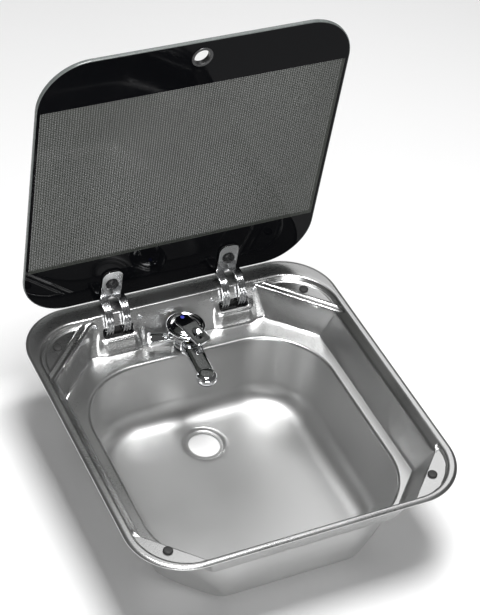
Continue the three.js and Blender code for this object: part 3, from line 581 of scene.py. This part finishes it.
def bowl():
    """The pressing as one sheet: its upper face, and the same face moved down by the sheet."""
    rings, heights = bowl_rings()
    count = rings.shape[1]
    x, y = rings[..., 0], rings[..., 1]
    z = np.repeat(heights[:, None], count, axis=1)
    z = with_podiums(x, y, with_pads(x, y, z))
    top = np.stack([x, y, z], axis=2)
    under = top - SHEET * surface_normals(top)
    under[0, :, 2] = 0.0  # the rim's edge ends on the worktop
    points = np.concatenate([top, under[::-1]]).reshape(-1, 3)
    faces = ring_faces(2 * len(rings), count, closed=True)
    piece = add_mesh("bowl_pressing", (points, faces), "sink", steel,
                     ["sink_bowl"], angle=BOWL_SHARP, outwards=False)
    for side in SIDES:
        cut_away(piece, slot_shape(side), sharp=BOWL_SHARP)
    hole = prism(
        circle(TAP_HOLE), HOLE_FROM_Z, HOLE_TO_Z, lambda a, b, depth: (a, TAP_Y + b, depth),
    )
    cut_away(piece, hole, sharp=BOWL_SHARP)


def surface_normals(top):
    """Unit normals of a grid of points, rings first."""
    along = np.roll(top, -1, axis=1) - np.roll(top, 1, axis=1)
    padded = np.concatenate([top[:1], top, top[-1:]])
    inward = padded[2:] - padded[:-2]
    normal = np.cross(along, inward)
    return normal / np.linalg.norm(normal, axis=2, keepdims=True)


def slot_shape(side):
    """The cutter for a hinge's slot, which runs through the back wall."""
    outline = rounded_box((SLOT_HALF, SLOT_HIGH, SLOT_LOW, SLOT_CORNER), 4, 8)
    return prism(
        outline, SLOT_FROM_Y, SLOT_TO_Y, lambda a, b, depth: (a + side * HINGE_X, depth, b),
    )


def rivet(side, end):
    """A rivet in the back wall, on the end side of a hinge's slot."""
    x = side * HINGE_X + end * RIVET_X
    tilt = math.pi / 2 - math.atan(BACK_LEAN)
    place = Matrix.Translation((x, back_wall_y(RIVET_Z), RIVET_Z)) @ Matrix.Rotation(tilt, 4, "X")
    shape = lathe([
        (0, -4.6), (2.7, -4.6), (2.7, -3.4), (1.9, -3.4), (1.9, 0.3), (3.1, 0.3), (3.1, 1.0),
        (2.2, 1.9), (1.5, 1.9), (1.2, 0.9), (0, 0.9),
    ], place, 0.25, 32)
    name = f"rivet_{SIDE_NAMES[side]}_{'outer' if side == end else 'inner'}"
    add_mesh(name + "_head", shape, "sink", zinc, [name])


def buffer(side, end):
    """A rubber buffer on a corner pad, at the back or front end."""
    x = side * (EDGE[0] - BUFFER_INSET)
    y = EDGE[1] - BUFFER_INSET if end == "back" else EDGE[2] + BUFFER_INSET
    shape = lathe([
        (0, -5.7), (3.6, -5.7), (4.6, -4.1), (3, -4.1), (3, -2.7), (5.9, -2.7), (5.9, -1.4),
        (4.7, -0.2), (1.6, 0.2), (0, -0.1),
    ], Matrix.Translation((x, y, 0)), 0.35, 40)
    name = f"lid_buffer_{end}_{SIDE_NAMES[side]}"
    add_mesh(name + "_rubber", shape, "sink", black_rubber, [name])


# ---------- lid ----------

PIVOT = Vector((0.0, 204.08, -11.674))
LEAN_DEGREES = 4.46
LEAN = math.radians(LEAN_DEGREES)
LID = Matrix.Translation(PIVOT) @ Matrix.Rotation(LEAN, 4, "X")
GLASS_FRONT, GLASS_FOOT = 12.174, 17.581
GLASS_SIDE, GLASS_CORNER, GLASS_THICK = 394.0, 62.0, 5.0
FINGER_HOLE, FINGER_UP, GROMMET_GAP = 11.5, GLASS_SIDE - 22.5, 0.3
# Pairs of distance outwards, or radius, and depth behind the front face.
GLASS_RIM = (
    (-1.8, 0.0), (-1.2, 0.0), (-0.35, 0.15), (0.0, 0.9),
    (0.0, 4.1), (-0.35, 4.85), (-1.2, 5.0), (-1.8, 5.0),
)
FINGER_RIM = ((12.0, 5.0), (FINGER_HOLE, 4.5), (FINGER_HOLE, 0.5), (12.0, 0.0))
EDGE_TONES, EDGE_ROUGHNESS = ((0.1, 0.112, 0.11), (0.15, 0.165, 0.16)), (0.2, 0.32)
FIELD_LOW, FIELD_HIGH, FIELD_HALF = 75.5, 329.5, 192.0
DOT_PITCH_ACROSS, DOT_PITCH_UP = 3.1, 2.7
CLEAR_SHARE, STREAK_SCALE, STREAK_TURN = 0.19, (5, 5, 2.5), (0, 0.5, 0)
PRINT_BLACK, FIELD_GREY = (0.003, 0.0032, 0.004), (0.056, 0.06, 0.054)
PRINT_ROUGHNESS = (0.03, 0.06)


def on_lid(x, up, behind):
    """From lid axes: across, up from the glass's lower edge, behind its front face."""
    return LID @ Vector((x, GLASS_FRONT + behind, GLASS_FOOT + up))


def through_lid(x, up):
    """A place on the glass whose z axis runs backwards through it, from the pivot's depth."""
    turn = Matrix(((1, 0, 0), (0, 0, 1), (0, -1, 0))).to_4x4()
    return LID @ Matrix.Translation((x, 0, GLASS_FOOT + up)) @ turn


def glass_plate():
    """The plate as one closed loft: front face, ground edge, back face, finger hole."""
    box = (GLASS_SIDE / 2, GLASS_SIDE, 0.0, GLASS_CORNER)
    outlines = [rounded_box(grown(box, outwards), 12, 28) for outwards, _ in GLASS_RIM]
    hole_radii = [radius for radius, _ in FINGER_RIM]
    outlines += circles_facing(outlines[-1], np.array((0.0, FINGER_UP)), hole_radii)
    depths = [behind for _, behind in GLASS_RIM + FINGER_RIM]
    rings = [[on_lid(a, b, depth) for a, b in ring] for ring, depth in zip(outlines, depths)]
    front_print = printed_glass("black_print_dots", False)
    piece = add_mesh("lid_glass", loft(rings, closed=True), "lid", front_print,
                     ["glass_lid"], angle=8)
    piece.data.materials.append(glass_edge())
    piece.data.materials.append(printed_glass("black_print_back", True))
    count, back_ring = len(rings[0]), len(GLASS_RIM) - 2
    for face in piece.data.polygons:
        ring = min(face.vertices) // count
        if 1 <= ring < back_ring:
            face.material_index = 1
        elif back_ring <= ring <= back_ring + 2:
            face.material_index = 2


def glass_edge():
    material, shader = new_material("ground_glass_edge", (0.12, 0.13, 0.13), 0.25)
    graph = Graph(material)
    cloud = graph.noise(graph.scaled(EVEN), 60, 2)
    graph.link(graph.mix(cloud, *EDGE_TONES), shader.inputs["Base Color"])
    graph.link(graph.ramp(cloud, *EDGE_ROUGHNESS), shader.inputs["Roughness"])
    return material


def printed_glass(name, clear):
    """Black print with a field between two plain bands, see-through by dots or all over."""
    black = (0.004, 0.004, 0.005)
    material, shader = new_material(name, black, 0.04, 0.0, Specular_IOR_Level=0.06)
    graph = Graph(material)
    x, y, z = graph.split()
    cos, sin = math.cos(LEAN), math.sin(LEAN)
    up = graph.math("SUBTRACT", graph.math("MULTIPLY", z, cos), graph.math("MULTIPLY", y, sin))
    foot = PIVOT.z * cos - PIVOT.y * sin + GLASS_FOOT
    field = print_field(graph, x, up, foot)
    shown = field if clear else through_dots(graph, x, up, field)
    graph.link(graph.math("SUBTRACT", 1.0, shown), shader.inputs["Alpha"])
    smear = graph.noise(graph.scaled(EVEN), 40, 3)
    grey = graph.math("MULTIPLY", field, graph.ramp(smear, 0.85, 1.0))
    graph.link(graph.mix(grey, PRINT_BLACK, FIELD_GREY), shader.inputs["Base Color"])
    graph.link(graph.ramp(smear, *PRINT_ROUGHNESS), shader.inputs["Roughness"])
    return material


def print_field(graph, x, up, foot):
    """1 within the field between the plain bands, and 0 outside it."""
    above = graph.math("GREATER_THAN", up, foot * MM + FIELD_LOW * MM)
    below = graph.math("LESS_THAN", up, foot * MM + FIELD_HIGH * MM)
    within = graph.math("LESS_THAN", graph.math("ABSOLUTE", x), FIELD_HALF * MM)
    return graph.math("MULTIPLY", graph.math("MULTIPLY", above, below), within)


def through_dots(graph, x, up, field):
    """How much light passes the field's fine clear dots, a little uneven from place to place."""
    waves = [
        graph.math("SINE", graph.math("MULTIPLY", value, 2 * math.pi / (pitch * MM)))
        for value, pitch in ((x, DOT_PITCH_ACROSS), (up, DOT_PITCH_UP))
    ]
    dots = graph.ramp(graph.math("ADD", *waves), 0.0, 1.0, -0.7, 1.9)
    streak = graph.noise(graph.scaled(STREAK_SCALE, STREAK_TURN), 1.2, 1)
    light = graph.ramp(streak, CLEAR_SHARE * 0.75, CLEAR_SHARE * 1.2, 0.35, 0.65)
    return graph.math("MULTIPLY", graph.math("MULTIPLY", dots, field), light)


def finger_ring():
    """The grommet: a barrel through the hole, with a rounded lip on each face."""
    front, back = GLASS_FRONT - GROMMET_GAP, GLASS_FRONT + GLASS_THICK + GROMMET_GAP
    barrel = FINGER_HOLE - GROMMET_GAP
    shape = lathe([
        (10.4, front - 1.2), (12.8, front - 1.2), (13.4, front), (barrel, front), (barrel, back),
        (13.4, back), (12.8, back + 1.2), (10.4, back + 1.2), (9.6, back), (9.6, front),
    ], through_lid(0, FINGER_UP), 0.4, 72, closed=True)
    add_mesh("finger_ring", shape, "lid", grey_rubber, ["finger_grommet"])


# ---------- hinges ----------

ARM_IN, ARM_WEB, ARM_OUT = 22.54, 24.54, 26.54
ARM_HALF, ARM_OFFSET, RIB = 5.0, 11.5, 2.2
ARM_START, ARM_END, CLAMP_LAP = 72, 206 - LEAN_DEGREES, 0.8
EYE_HOLE, EYE_R = 3.3, 6.5
TAB_MIDDLE = GLASS_FRONT - 2.6
TAB_TOP, TAB_HALF, TAB_CORNER = GLASS_FOOT + 50, 13.5, 10.0
BRIDGE_R, BRIDGE_END, BRIDGE_HALF = 26.2, 107.06, 17.0
ARCH, ARCH_INSET = 6.0, 1.9
CLAMP_SHEET, CLAMP_BEVEL, CLAMP_COLUMNS = 2.2, 0.4, 9
SCREW_UP = 28.5


def arm(side, offset, name):
    """A gooseneck, ribbed in front of the clamp and plain under it, with its eye on the pin."""
    x0, x1 = offset - ARM_HALF, offset + ARM_HALF
    ribbed = rounded([
        (x0, ARM_IN), (x1, ARM_IN), (x1, ARM_OUT), (x1 - RIB, ARM_OUT), (x1 - RIB, ARM_WEB),
        (offset + RIB / 2, ARM_WEB), (offset + RIB / 2, ARM_OUT), (offset - RIB / 2, ARM_OUT),
        (offset - RIB / 2, ARM_WEB), (x0 + RIB, ARM_WEB), (x0 + RIB, ARM_OUT), (x0, ARM_OUT),
    ], 0.6, 3, closed=True)
    plain = [(x0, ARM_IN), (x1, ARM_IN), (x1, ARM_WEB), (x0, ARM_WEB)]
    eye_angle = math.radians(ARM_END - 4)
    tip = (math.cos(eye_angle) * ARM_WEB, math.sin(eye_angle) * ARM_WEB)
    spoke = [(-4, 3.5), (tip[0], tip[1] + 3.5), (tip[0] + 1, tip[1] - 3.5), (1, -4.5)]
    across = Matrix.Translation((side * HINGE_X + x0, 0, 0))
    pin_axis = LID @ across @ Matrix.Rotation(math.pi / 2, 4, "Y")
    wide = 2 * ARM_HALF
    eye = lathe([(EYE_HOLE, 0), (EYE_R, 0), (EYE_R, wide), (EYE_HOLE, wide)], pin_axis, 0.4, 40,
                closed=True)
    clear = BRIDGE_END + CLAMP_LAP
    shape = together(
        swept(ribbed, side, clear, ARM_END, 70), swept(plain, side, ARM_START, clear, 16),
        prism(spoke, x0, x1, lambda y, z, x: LID @ Vector((side * HINGE_X + x, y, z))), eye,
    )
    add_mesh(name + "_ribbed", shape, "lid", hinge_chrome, [name], angle=40)


def swept(section, side, start, end, steps):
    """A section of (x, radius) carried round the pivot."""
    rings = []
    for turn in np.radians(np.linspace(start, end, steps)):
        cos, sin = math.cos(turn), math.sin(turn)
        rings.append([LID @ Vector((side * HINGE_X + x, r * cos, r * sin)) for x, r in section])
    return loft(rings)


def clamp_path():
    """Places (y, z) along the folded plate, how far along each is, and where the fold is."""
    fold = math.sqrt(BRIDGE_R ** 2 - TAB_MIDDLE ** 2)
    over = arc(BRIDGE_R, math.degrees(math.acos(TAB_MIDDLE / BRIDGE_R)) + 3, BRIDGE_END, 40)
    corner = rounded([(TAB_MIDDLE, TAB_TOP), (TAB_MIDDLE, fold), over[0]], 1.8, 8)
    path = np.array([*corner, *over[1:]])
    along = np.concatenate([[0], np.cumsum(np.linalg.norm(np.diff(path, axis=0), axis=1))])
    steps = np.arange(0, along[-1], 0.5)
    places = np.stack([np.interp(steps, along, path[:, k]) for k in (0, 1)], axis=1)
    return places, steps, TAB_TOP - fold


def clamp_widths(along, fold):
    """From where to where half the plate reaches: a round top, and an arch between the arms."""
    widening = float(smooth_step(along, fold - 0.5, fold + 3))
    wide = TAB_HALF + (BRIDGE_HALF - TAB_HALF) * widening
    if along < TAB_CORNER:
        wide += math.sqrt(TAB_CORNER ** 2 - (TAB_CORNER - along) ** 2) - TAB_CORNER
    into = min(max(along - fold - ARCH_INSET, 0.0), ARCH)
    return math.sqrt(ARCH ** 2 - (ARCH - into) ** 2), wide


def clamp_sheet(side, name):
    """The plate's middle surface, of two mirrored halves."""
    path, steps, fold = clamp_path()
    work = bmesh.new()
    for flip in (-1, 1):
        rows = []
        for (y, z), along in zip(path, steps):
            across = np.linspace(*clamp_widths(along, fold), CLAMP_COLUMNS)
            rows.append([
                work.verts.new(MM * (LID @ Vector((side * HINGE_X + flip * x, y, z))))
                for x in across
            ])
        for here, there in zip(rows, rows[1:]):
            for j in range(CLAMP_COLUMNS - 1):
                work.faces.new((here[j], here[j + 1], there[j + 1], there[j]))
    bmesh.ops.remove_doubles(work, verts=work.verts, dist=0.02 * MM)
    bmesh.ops.recalc_face_normals(work, faces=work.faces)
    mesh = bpy.data.meshes.new(name)
    work.to_mesh(mesh)
    work.free()
    return mesh


def clamp(side, name):
    """The tab on the glass, folded forwards at its foot over the two arms."""
    mesh = clamp_sheet(side, name + "_plate")
    piece = new_object(name + "_plate", mesh)
    mesh.materials.append(hinge_chrome)
    thick = piece.modifiers.new("thick", "SOLIDIFY")
    thick.thickness = CLAMP_SHEET * MM
    thick.offset = 0
    thick.use_even_offset = True
    edges = piece.modifiers.new("edges", "BEVEL")
    edges.width = CLAMP_BEVEL * MM
    edges.segments = 2
    edges.limit_method = "ANGLE"
    edges.angle_limit = math.radians(50)
    apply_modifiers(piece)
    piece.data.shade_smooth()
    piece.data.set_sharp_from_angle(angle=math.radians(40))
    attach(piece, "lid")
    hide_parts(name)


def screw(side, name):
    """The clamp's screw: a cap with a sunk middle and a shank through the glass."""
    front, tip = TAB_MIDDLE - 1.3, GLASS_FRONT + 13.2
    shape = lathe([
        (0, front - 1.8), (2.2, front - 1.8), (2.6, front - 2.8), (5.6, front - 2.8),
        (6, front - 2.3), (6.5, front - 2.3), (6.9, front - 2.6), (8.1, front - 1.8),
        (8.1, front), (3, front), (3, tip), (0, tip),
    ], through_lid(side * HINGE_X, SCREW_UP), 0.35, 56)
    add_mesh(name + "_cap", shape, "lid", black_plastic, [name])


def back_plate(side, name):
    front = GLASS_FRONT + GLASS_THICK + 1.6
    shape = lathe([
        (3.4, front), (11.5, front), (11.5, front + 1.2), (10.6, front + 2), (3.4, front + 2),
    ], through_lid(side * HINGE_X, SCREW_UP), 0.3, 56, closed=True)
    add_mesh(name + "_disc", shape, "lid", zinc, [name])


def hinge_set(side):
    label = SIDE_NAMES[side]
    for end, where in ((side, "outer"), (-side, "inner")):
        arm(side, end * ARM_OFFSET, f"gooseneck_arm_{where}_{label}")
    clamp(side, f"lid_clamp_{label}")
    screw(side, f"clamp_screw_{label}")
    back_plate(side, f"clamp_back_plate_{label}")


# ---------- tap ----------

DECK = Matrix.Translation((0, TAP_Y, FLOOR_Z))
SPOUT = DECK @ Matrix.Rotation(math.radians(-3), 4, "Z")
LEVER = DECK @ Matrix.Rotation(math.radians(18), 4, "Z")
BODY_R, BODY_FOOT, FLARE_FOOT, COLLAR_R, COLLAR_TOP = 12.5, 11.0, 18.0, 20.4, 27.0
WING_LENGTH, WING_HEIGHT, WING_TURN = 46.0, 16.8, math.radians(-8.6)
WING_ROOT, WING_FLARE = 5.2, 5.0
REACH, SPOUT_TOP, SPOUT_HALF, HEAD_R, HEAD_FOOT = 77.0, 24.0, 11.5, 13.6, 13.4
CAP_R, RING_TOP, SKIRT = 25.0, 36.0, 30.5
BLADE_REACH, BLADE_HALF, BLADE_HIGH, BLADE_TIP = 37.0, 11.5, 40.5, 34.2
BLADE_CHAMFER, FLAT_INSET = 1.6, 2.4
SPIGOT_R, SPOUT_BORE, SEAM = 8.8, 9.1, 37.0
# Places along the spout with its section: y, beyond SPOUT_HALF, underside, above SPOUT_TOP.
SPOUT_SECTIONS = (
    (-6, -3.7, 5, 1.6), (-10, -2.5, 5, 1.6), (-14, -0.7, 5.2, 1.6), (-20, 1.8, 6.4, 1.5),
    (-26, 2, 9.2, 1.35), (-32, 1.2, 12.2, 1.2), (-SEAM + 0.5, 0.6, 13.4, 1),
    (-SEAM + 0.3, 0.4, 13.6, 0.8), (-SEAM - 0.3, 0.4, 13.6, 0.8), (-SEAM - 0.5, 0.6, 13.4, 1),
    (-50, 0.2, 13.8, 0.6), (-64, 0, 14.0, 0.2), (-REACH + 4, -0.6, 14.2, -0.6),
    (-REACH - 4, -1.6, 14.8, -2.4), (-REACH - 8, -4.0, 15.6, -4.4),
)
DIMPLE_HALF, DIMPLE_LENGTH, DIMPLE_PLACE, DIMPLE_DEPTH = 7.6, 10.5, 14.5, 2.4
DOT_R, DOT_PLACE = 2.6, (2.0, 9.6)


def body_profile(grow=0.0):
    """The tap body's stem and collar, or the space that the spout leaves round them."""
    return [
        (0, BODY_FOOT - grow), (BODY_R + grow, BODY_FOOT - grow), (BODY_R + grow, FLARE_FOOT),
        (COLLAR_R + grow, FLARE_FOOT + 4.2 - grow), (COLLAR_R + grow, COLLAR_TOP + grow),
        (0, COLLAR_TOP + grow),
    ]


def tap_casting():
    """The tap's body on its spigot, with the wing that flares out to the left."""
    wing = (
        DECK @ Matrix.Translation((0, 0, WING_HEIGHT))
        @ Matrix.Rotation(WING_TURN, 4, "Z") @ Matrix.Rotation(-math.pi / 2, 4, "Y")
    )
    flare = [
        (WING_ROOT + WING_FLARE * t, WING_LENGTH * (0.2 + 0.8 * t)) for t in np.linspace(0, 1, 14)
    ]
    shape = together(
        lathe(body_profile(), DECK, 1.2, 72),
        lathe([(0, 1.9), (SPIGOT_R, 1.9), (SPIGOT_R, 12), (0, 12)], DECK, 0.2, 48),
        lathe([
            (0, 9), (WING_ROOT, 9), *flare, (9.2, WING_LENGTH + 0.9), (7.6, WING_LENGTH + 0.9),
            (7.0, WING_LENGTH + 0.2), (0, WING_LENGTH + 0.2),
        ], wing, 0.5, 64),
    )
    add_mesh("tap_casting", shape, "sink", tap_chrome, ["tap_body"], angle=30)


def spout_ring(y, half, low, high, power=3.2):
    """A section across the spout: a rectangle with well rounded sides."""
    turn = np.linspace(0, 2 * math.pi, 64, endpoint=False)
    cos, sin = np.cos(turn), np.sin(turn)
    bulge = (np.abs(cos) ** power + np.abs(sin) ** power) ** (-1 / power)
    middle, rise = (low + high) / 2, (high - low) / 2
    return [
        SPOUT @ Vector((half * b * c, y, middle + rise * b * s))
        for b, c, s in zip(bulge, cos, sin)
    ]


def tap_spout():
    """The spout: barrel and head, hollowed where it turns about the body, and its outlet."""
    barrel = loft([
        spout_ring(y, SPOUT_HALF + wider, low, SPOUT_TOP + higher)
        for y, wider, low, higher in SPOUT_SECTIONS
    ])
    down = SPOUT @ Matrix.Translation((0, -REACH, 0))
    head = lathe([
        (0, HEAD_FOOT + 6), (6.5, HEAD_FOOT + 6), (6.5, HEAD_FOOT), (HEAD_R - 1.0, HEAD_FOOT),
        (HEAD_R, HEAD_FOOT + 1.2), (HEAD_R, 18.6), (HEAD_R - 1.4, 21.4), (HEAD_R - 5, 23.6),
        (0, 24.3),
    ], down, 0.9, 64)
    foot = lathe([
        (SPOUT_BORE, 5.5), (12.9, 5.5), (12.9, 10.7), (SPOUT_BORE, 10.7),
    ], DECK, 0.5, closed=True)
    piece = add_mesh("spout_casting", together(barrel, head), "spout", tap_chrome,
                     ["tap_spout"], angle=30)
    cut_away(piece, lathe(body_profile(0.3), DECK, 1.2, 72), 30)
    cut_away(piece, lathe([
        (0, 0), (SPOUT_BORE, 0), (SPOUT_BORE, 11), (0, 11),
    ], DECK, 0.1, 48), 30)
    add_mesh("spout_foot", foot, "spout", tap_chrome)
    outlet = lathe([
        (0, 11.6), (5.7, 11.6), (5.7, 9.7), (10.9, 9.7), (11.4, 10.3), (11.4, 13.1), (0, 13.1),
    ], down, 0.25, 56)
    add_mesh("outlet_insert", outlet, "spout", black_plastic, ["tap_aerator"])


def blade_top(y):
    """The tongue's top: level over the cap, then falling towards the tip."""
    ahead = max(-y - 2.0, 0.0) / (BLADE_REACH - 2.0)
    return BLADE_HIGH - (BLADE_HIGH - BLADE_TIP) * ahead ** 1.4


def blade_ring(y, half, thick):
    """A section of the lever's tongue, with a flat top that dips near the tip."""
    top = blade_top(y)
    outline = rounded([
        (-half, top - thick), (half, top - thick),
        (half, top - BLADE_CHAMFER), (half - BLADE_CHAMFER, top),
    ], 0.8, 4, closed=True)
    flat = np.linspace(half - FLAT_INSET, FLAT_INSET - half, 25)
    right_corners = slice(5, 15)  # each of the four corners is five points
    side = [(a, b) for a, b in outline[right_corners]] + [(half - BLADE_CHAMFER, top)]
    mirrored = [(-a, b) for a, b in side][::-1]
    ring = side + [(a, top) for a in flat] + mirrored
    return [LEVER @ Vector((a, y, b - dimple(a, y) * (b > top - 0.2))) for a, b in ring]


def dimple(x, y):
    """Depth of the oval hollow for the thumb."""
    away = math.hypot(x / DIMPLE_HALF, (y + BLADE_REACH - DIMPLE_PLACE) / DIMPLE_LENGTH)
    return DIMPLE_DEPTH * (0.5 + 0.5 * math.cos(math.pi * away)) if away < 1 else 0.0


def tap_lever():
    """The lever: a shell with a raised ring, a tongue over it, and the temperature dot."""
    dome = lathe([
        (0, 38.9), (11, 38.4), (16.5, 36.6), (19.4, 34.6), (21.2, 34.8), (22.2, RING_TOP),
        (24.2, RING_TOP), (CAP_R, RING_TOP - 1.2), (CAP_R - 0.3, 33.4), (22.6, SKIRT),
        (21.3, SKIRT), (21.3, 32.2), (18, 33.8), (12, 37.0), (0, 37.6),
    ], LEVER, 1.0, 96)
    # The tongue's sections from its root to its tip: place, half width, thickness.
    stations = [
        (13.6, 6.5, 2.0), (13.2, 8.4, 2.4), (12.2, 9.8, 3.0), (10.6, 10.8, 3.4), (7, 11.3, 3.6),
    ]
    stations += [(y, BLADE_HALF, 3.8) for y in np.arange(3, -19, -1.6)]
    stations += [(y, BLADE_HALF, 5.4) for y in np.arange(-20.6, -BLADE_REACH + 3.6, -1.2)]
    stations += [
        (-BLADE_REACH + 2.6, BLADE_HALF - 0.3, 5.0), (-BLADE_REACH + 1.2, BLADE_HALF - 1.2, 4.4),
        (-BLADE_REACH + 0.3, BLADE_HALF - 2.8, 3.6), (-BLADE_REACH, BLADE_HALF - 4.4, 3.0),
    ]
    blade = loft([blade_ring(*station) for station in stations])
    add_mesh("lever_casting", together(dome, blade), "lever", tap_chrome,
             ["tap_lever"], angle=28)
    dot = lathe([
        (0, BLADE_HIGH - 0.9), (DOT_R, BLADE_HIGH - 0.9), (DOT_R, BLADE_HIGH + 0.35),
        (0, BLADE_HIGH + 0.5),
    ], LEVER @ Matrix.Translation((*DOT_PLACE, 0)), 0.3, 40)
    add_mesh("temperature_dot", dot, "lever", enamel, ["lever_dot"])


# ---------- stage ----------
# Places and sizes of the stage are metres, powers are watts.

FLOOR_HALF, FLOOR_GAP = 6.0, 0.0015
FLOOR_TONES = ((0.93, 0.93, 0.93), (0.95, 0.95, 0.95))
WORLD_STRENGTH = 0.08
LIGHTS = (
    ("top", (0.0, -0.1, 2.2), (0, 0, -0.1), (0.85, 0.85), 60),
    ("back", (1.3, 1.75, 2.4), (0.05, 0, 0), (1.8, 1.1), 9),
    ("front", (-0.7, -2.4, 0.6), (0, 0, -0.1), (1.6, 0.6), 28),
)


def floor():
    """A plain pale floor, just under the lowest solid."""
    mesh = bpy.data.meshes.new("floor")
    half, z = FLOOR_HALF, cad_low[2] - FLOOR_GAP
    corners = [(-half, -half, z), (half, -half, z), (half, half, z), (-half, half, z)]
    mesh.from_pydata(corners, [], [(0, 1, 2, 3)])
    piece = new_object("floor", mesh)
    material, shader = new_material("floor", FLOOR_TONES[0], 0.9)
    graph = Graph(material)
    cloud = graph.noise(graph.scaled(EVEN), 3)
    graph.link(graph.mix(cloud, *FLOOR_TONES), shader.inputs["Base Color"])
    mesh.materials.append(material)


def area_light(name, place, target, size, power):
    data = bpy.data.lights.new(name, "AREA")
    data.shape = "RECTANGLE"
    data.size, data.size_y = size
    data.energy = power
    light = bpy.data.objects.new(name, data)
    light.location = place
    light.rotation_mode = "QUATERNION"
    light.rotation_quaternion = (Vector(target) - Vector(place)).to_track_quat("-Z", "Y")
    scene.collection.objects.link(light)


def studio():
    """A dim white surround and three soft white lights."""
    world = bpy.data.worlds.new("studio")
    scene.world = world
    world.use_nodes = True
    background = world.node_tree.nodes["Background"]
    background.inputs["Color"].default_value = (1, 1, 1, 1)
    background.inputs["Strength"].default_value = WORLD_STRENGTH
    for light in LIGHTS:
        area_light(*light)
    scene.view_settings.view_transform = "Standard"


# ---------- assembly ----------

steel = brushed_steel()
hinge_chrome = chrome("hinge_chrome", (0.78, 0.79, 0.8), 0.14)
tap_chrome = chrome("tap_chrome", (0.82, 0.83, 0.84), 0.05)
black_rubber = speckled("black_rubber", (0.012, 0.012, 0.012), (0.03, 0.03, 0.03), 0.6)
grey_rubber = speckled("grey_rubber", (0.025, 0.025, 0.026), (0.05, 0.05, 0.052), 0.3)
black_plastic = speckled("black_plastic", (0.005, 0.005, 0.006), (0.011, 0.011, 0.012), 0.24)
white_plastic = speckled("white_plastic", (0.7, 0.7, 0.68), (0.8, 0.8, 0.78), 0.5)
brass = speckled("brass", (0.45, 0.33, 0.12), (0.6, 0.47, 0.2), 0.35, 500, 0.00004, 1.0)
zinc = speckled("zinc", (0.5, 0.51, 0.52), (0.68, 0.69, 0.7), 0.34, 500, 0.00004, 1.0)
enamel = speckled("blue_enamel", (0.03, 0.04, 0.35), (0.05, 0.06, 0.45), 0.25)

SLOT_MATERIALS = {
    "brushed_steel": steel, "hinge_chrome": hinge_chrome, "tap_chrome": tap_chrome,
    "rubber": black_rubber, "grommet_rubber": grey_rubber, "black_plastic": black_plastic,
    "glide_plastic": white_plastic, "brass": brass, "zinc_steel": zinc, "dot_enamel": enamel,
}


def dress_solids():
    """Gives every solid that stays in view the finish that its record slot names."""
    for part in frame["record"]["subparts"]:
        solid = nodes[part["node"]]
        material = SLOT_MATERIALS.get(part["material_slot"])
        if material is not None:
            solid.data.materials.clear()
            solid.data.materials.append(material)


place_camera()
studio()
floor()
dress_solids()
bowl()
glass_plate()
finger_ring()
for side in SIDES:
    hinge_set(side)
    for end in SIDES:
        rivet(side, end)
    for end in ("back", "front"):
        buffer(side, end)
tap_casting()
tap_spout()
tap_lever()
